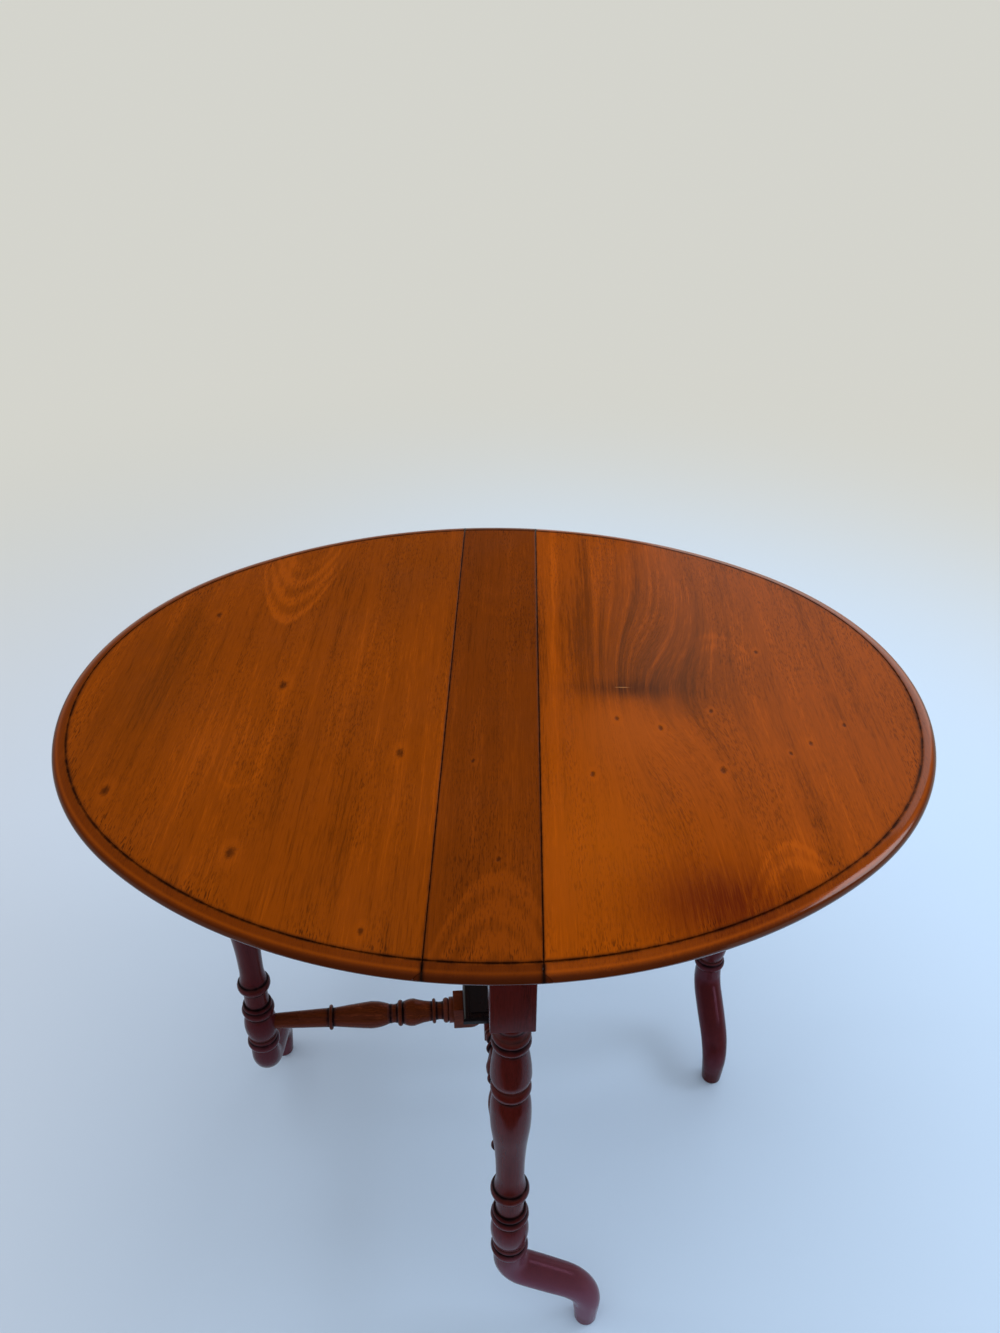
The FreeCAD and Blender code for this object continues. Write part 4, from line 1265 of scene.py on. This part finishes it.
def make_floor():
    """A pale floor, with painted light that makes it greyer on the left and bluer on the right, that turns into
    the paper of the backdrop further out.
    """
    finish, tree, shader, place = new_finish("pale_floor")
    spot = tree.split(place)
    far = tree.between(tree.far(spot["X"], spot["Y"]), floor_near, floor_far)
    # Painted light: the near floor shifts from greyer on the left to bluer on the right
    near = tree.mix(tree.between(spot["X"], floor_left, floor_right), floor_left_painted_light, floor_colour)
    tree.link(shader, Base_Color=tree.mix(far, near, paper_colour), Roughness=0.9, Specular_IOR_Level=0.1)
    paper = tree.node("ShaderNodeEmission", {"Color": paper_colour, "Strength": 1.0}).outputs[0]
    shown = tree.times(far, seen_rays(tree))
    blend = tree.node("ShaderNodeMixShader", {0: shown, 1: shader.outputs[0], 2: paper})
    tree.put(finish.node_tree.nodes["Material Output"].inputs["Surface"], blend.outputs[0])
    floor = object_of(sheet(floor_reach), "floor", finish)


def make_card():
    """A low dark card in front, which only shows as a reflection in the polish of the legs."""
    shape = sheet(card_reach)
    stand = Matrix.Translation(card_place) @ Matrix.Rotation(quarter_turn, 4, "X")
    bmesh.ops.transform(shape, matrix=stand, verts=shape.verts)
    finish, tree, shader, place = new_finish("dark_card")
    grey = tree.between(tree.noise(place, 6.0, 2.0), 0.2, 0.8)
    tree.link(shader, Base_Color=tree.mix(grey, card_colour, card_worn_colour), Roughness=0.9)
    card = object_of(shape, "dark_card", finish)
    for rays in ("camera", "diffuse", "transmission", "volume_scatter", "shadow"):
        setattr(card, "visible_" + rays, False)


def add_panel(name, place, size, power, colour, reflected=True):
    """A soft light panel that faces the table."""
    lamp = bpy.data.lights.new(name, "AREA")
    lamp.shape = "RECTANGLE"
    lamp.size, lamp.size_y = size
    lamp.energy = power
    lamp.color = colour
    panel = new_object(name, lamp)
    panel.location = place
    panel.rotation_euler = (panel_aim - Vector(place)).to_track_quat("-Z", "Y").to_euler()
    panel.visible_camera = False
    panel.visible_glossy = reflected


def make_light():
    """Even daylight under a ceiling that reflects dimly, and four panels."""
    world = bpy.data.worlds.new("studio")
    world.use_nodes = True
    bpy.context.scene.world = world
    tree = Tree(world.node_tree)
    ambient = world.node_tree.nodes["Background"]
    tree.link(ambient, Color=ambient_colour, Strength=ambient_strength)
    upward = tree.split(tree.node("ShaderNodeTexCoord").outputs["Generated"])["Z"]
    dim = tree.times(tree.between(upward, ceiling_low, ceiling_high), 1 - ceiling_share)
    straight = tree.node("ShaderNodeLightPath").outputs["Is Camera Ray"]
    strength = tree.most(straight, tree.rest(dim))
    paper = tree.node("ShaderNodeBackground", {"Color": paper_colour, "Strength": strength}).outputs[0]
    blend = tree.node("ShaderNodeMixShader", {0: seen_rays(tree), 1: ambient.outputs[0], 2: paper})
    tree.put(world.node_tree.nodes["World Output"].inputs["Surface"], blend.outputs[0])
    add_panel("overhead_panel", (-0.2, 0.2, 3.2), (2.6, 2.6), 14.0, (1.0, 0.98, 0.95), reflected=False)
    add_panel("window_panel", (2.5, 0.5, 2.75), (1.05, 1.15), 20.0, (0.88, 0.92, 1.0))
    add_panel("back_window_panel", (2.4, 4.2, 3.0), (3.6, 3.0), 34.0, (0.95, 0.97, 1.0))
    add_panel("side_strip", (-3.0, 0.0, 1.4), (0.5, 1.6), 7.0, (1.0, 0.98, 0.94), reflected=False)


def make_camera():
    """The camera as it stood for the photograph."""
    lens = bpy.data.cameras.new("camera")
    lens.sensor_width = sensor_width
    lens.lens = focal_pixels / max(image_width, image_height) * sensor_width
    level = math.cos(camera_pitch)
    forward = Vector((-math.sin(camera_yaw) * level, math.cos(camera_yaw) * level, -math.sin(camera_pitch)))
    right = Vector((math.cos(camera_yaw), math.sin(camera_yaw), 0))
    down = forward.cross(right)
    tilted_right = right * math.cos(camera_roll) + down * math.sin(camera_roll)
    tilted_down = down * math.cos(camera_roll) - right * math.sin(camera_roll)
    turn = Matrix((tilted_right, -tilted_down, -forward)).transposed()
    camera = new_object("camera", lens)
    camera.matrix_world = Matrix.Translation(camera_place) @ turn.to_4x4()
    bpy.context.scene.camera = camera


make_floor()
make_card()
make_light()
make_camera()
bpy.context.scene.view_settings.view_transform = "Standard"
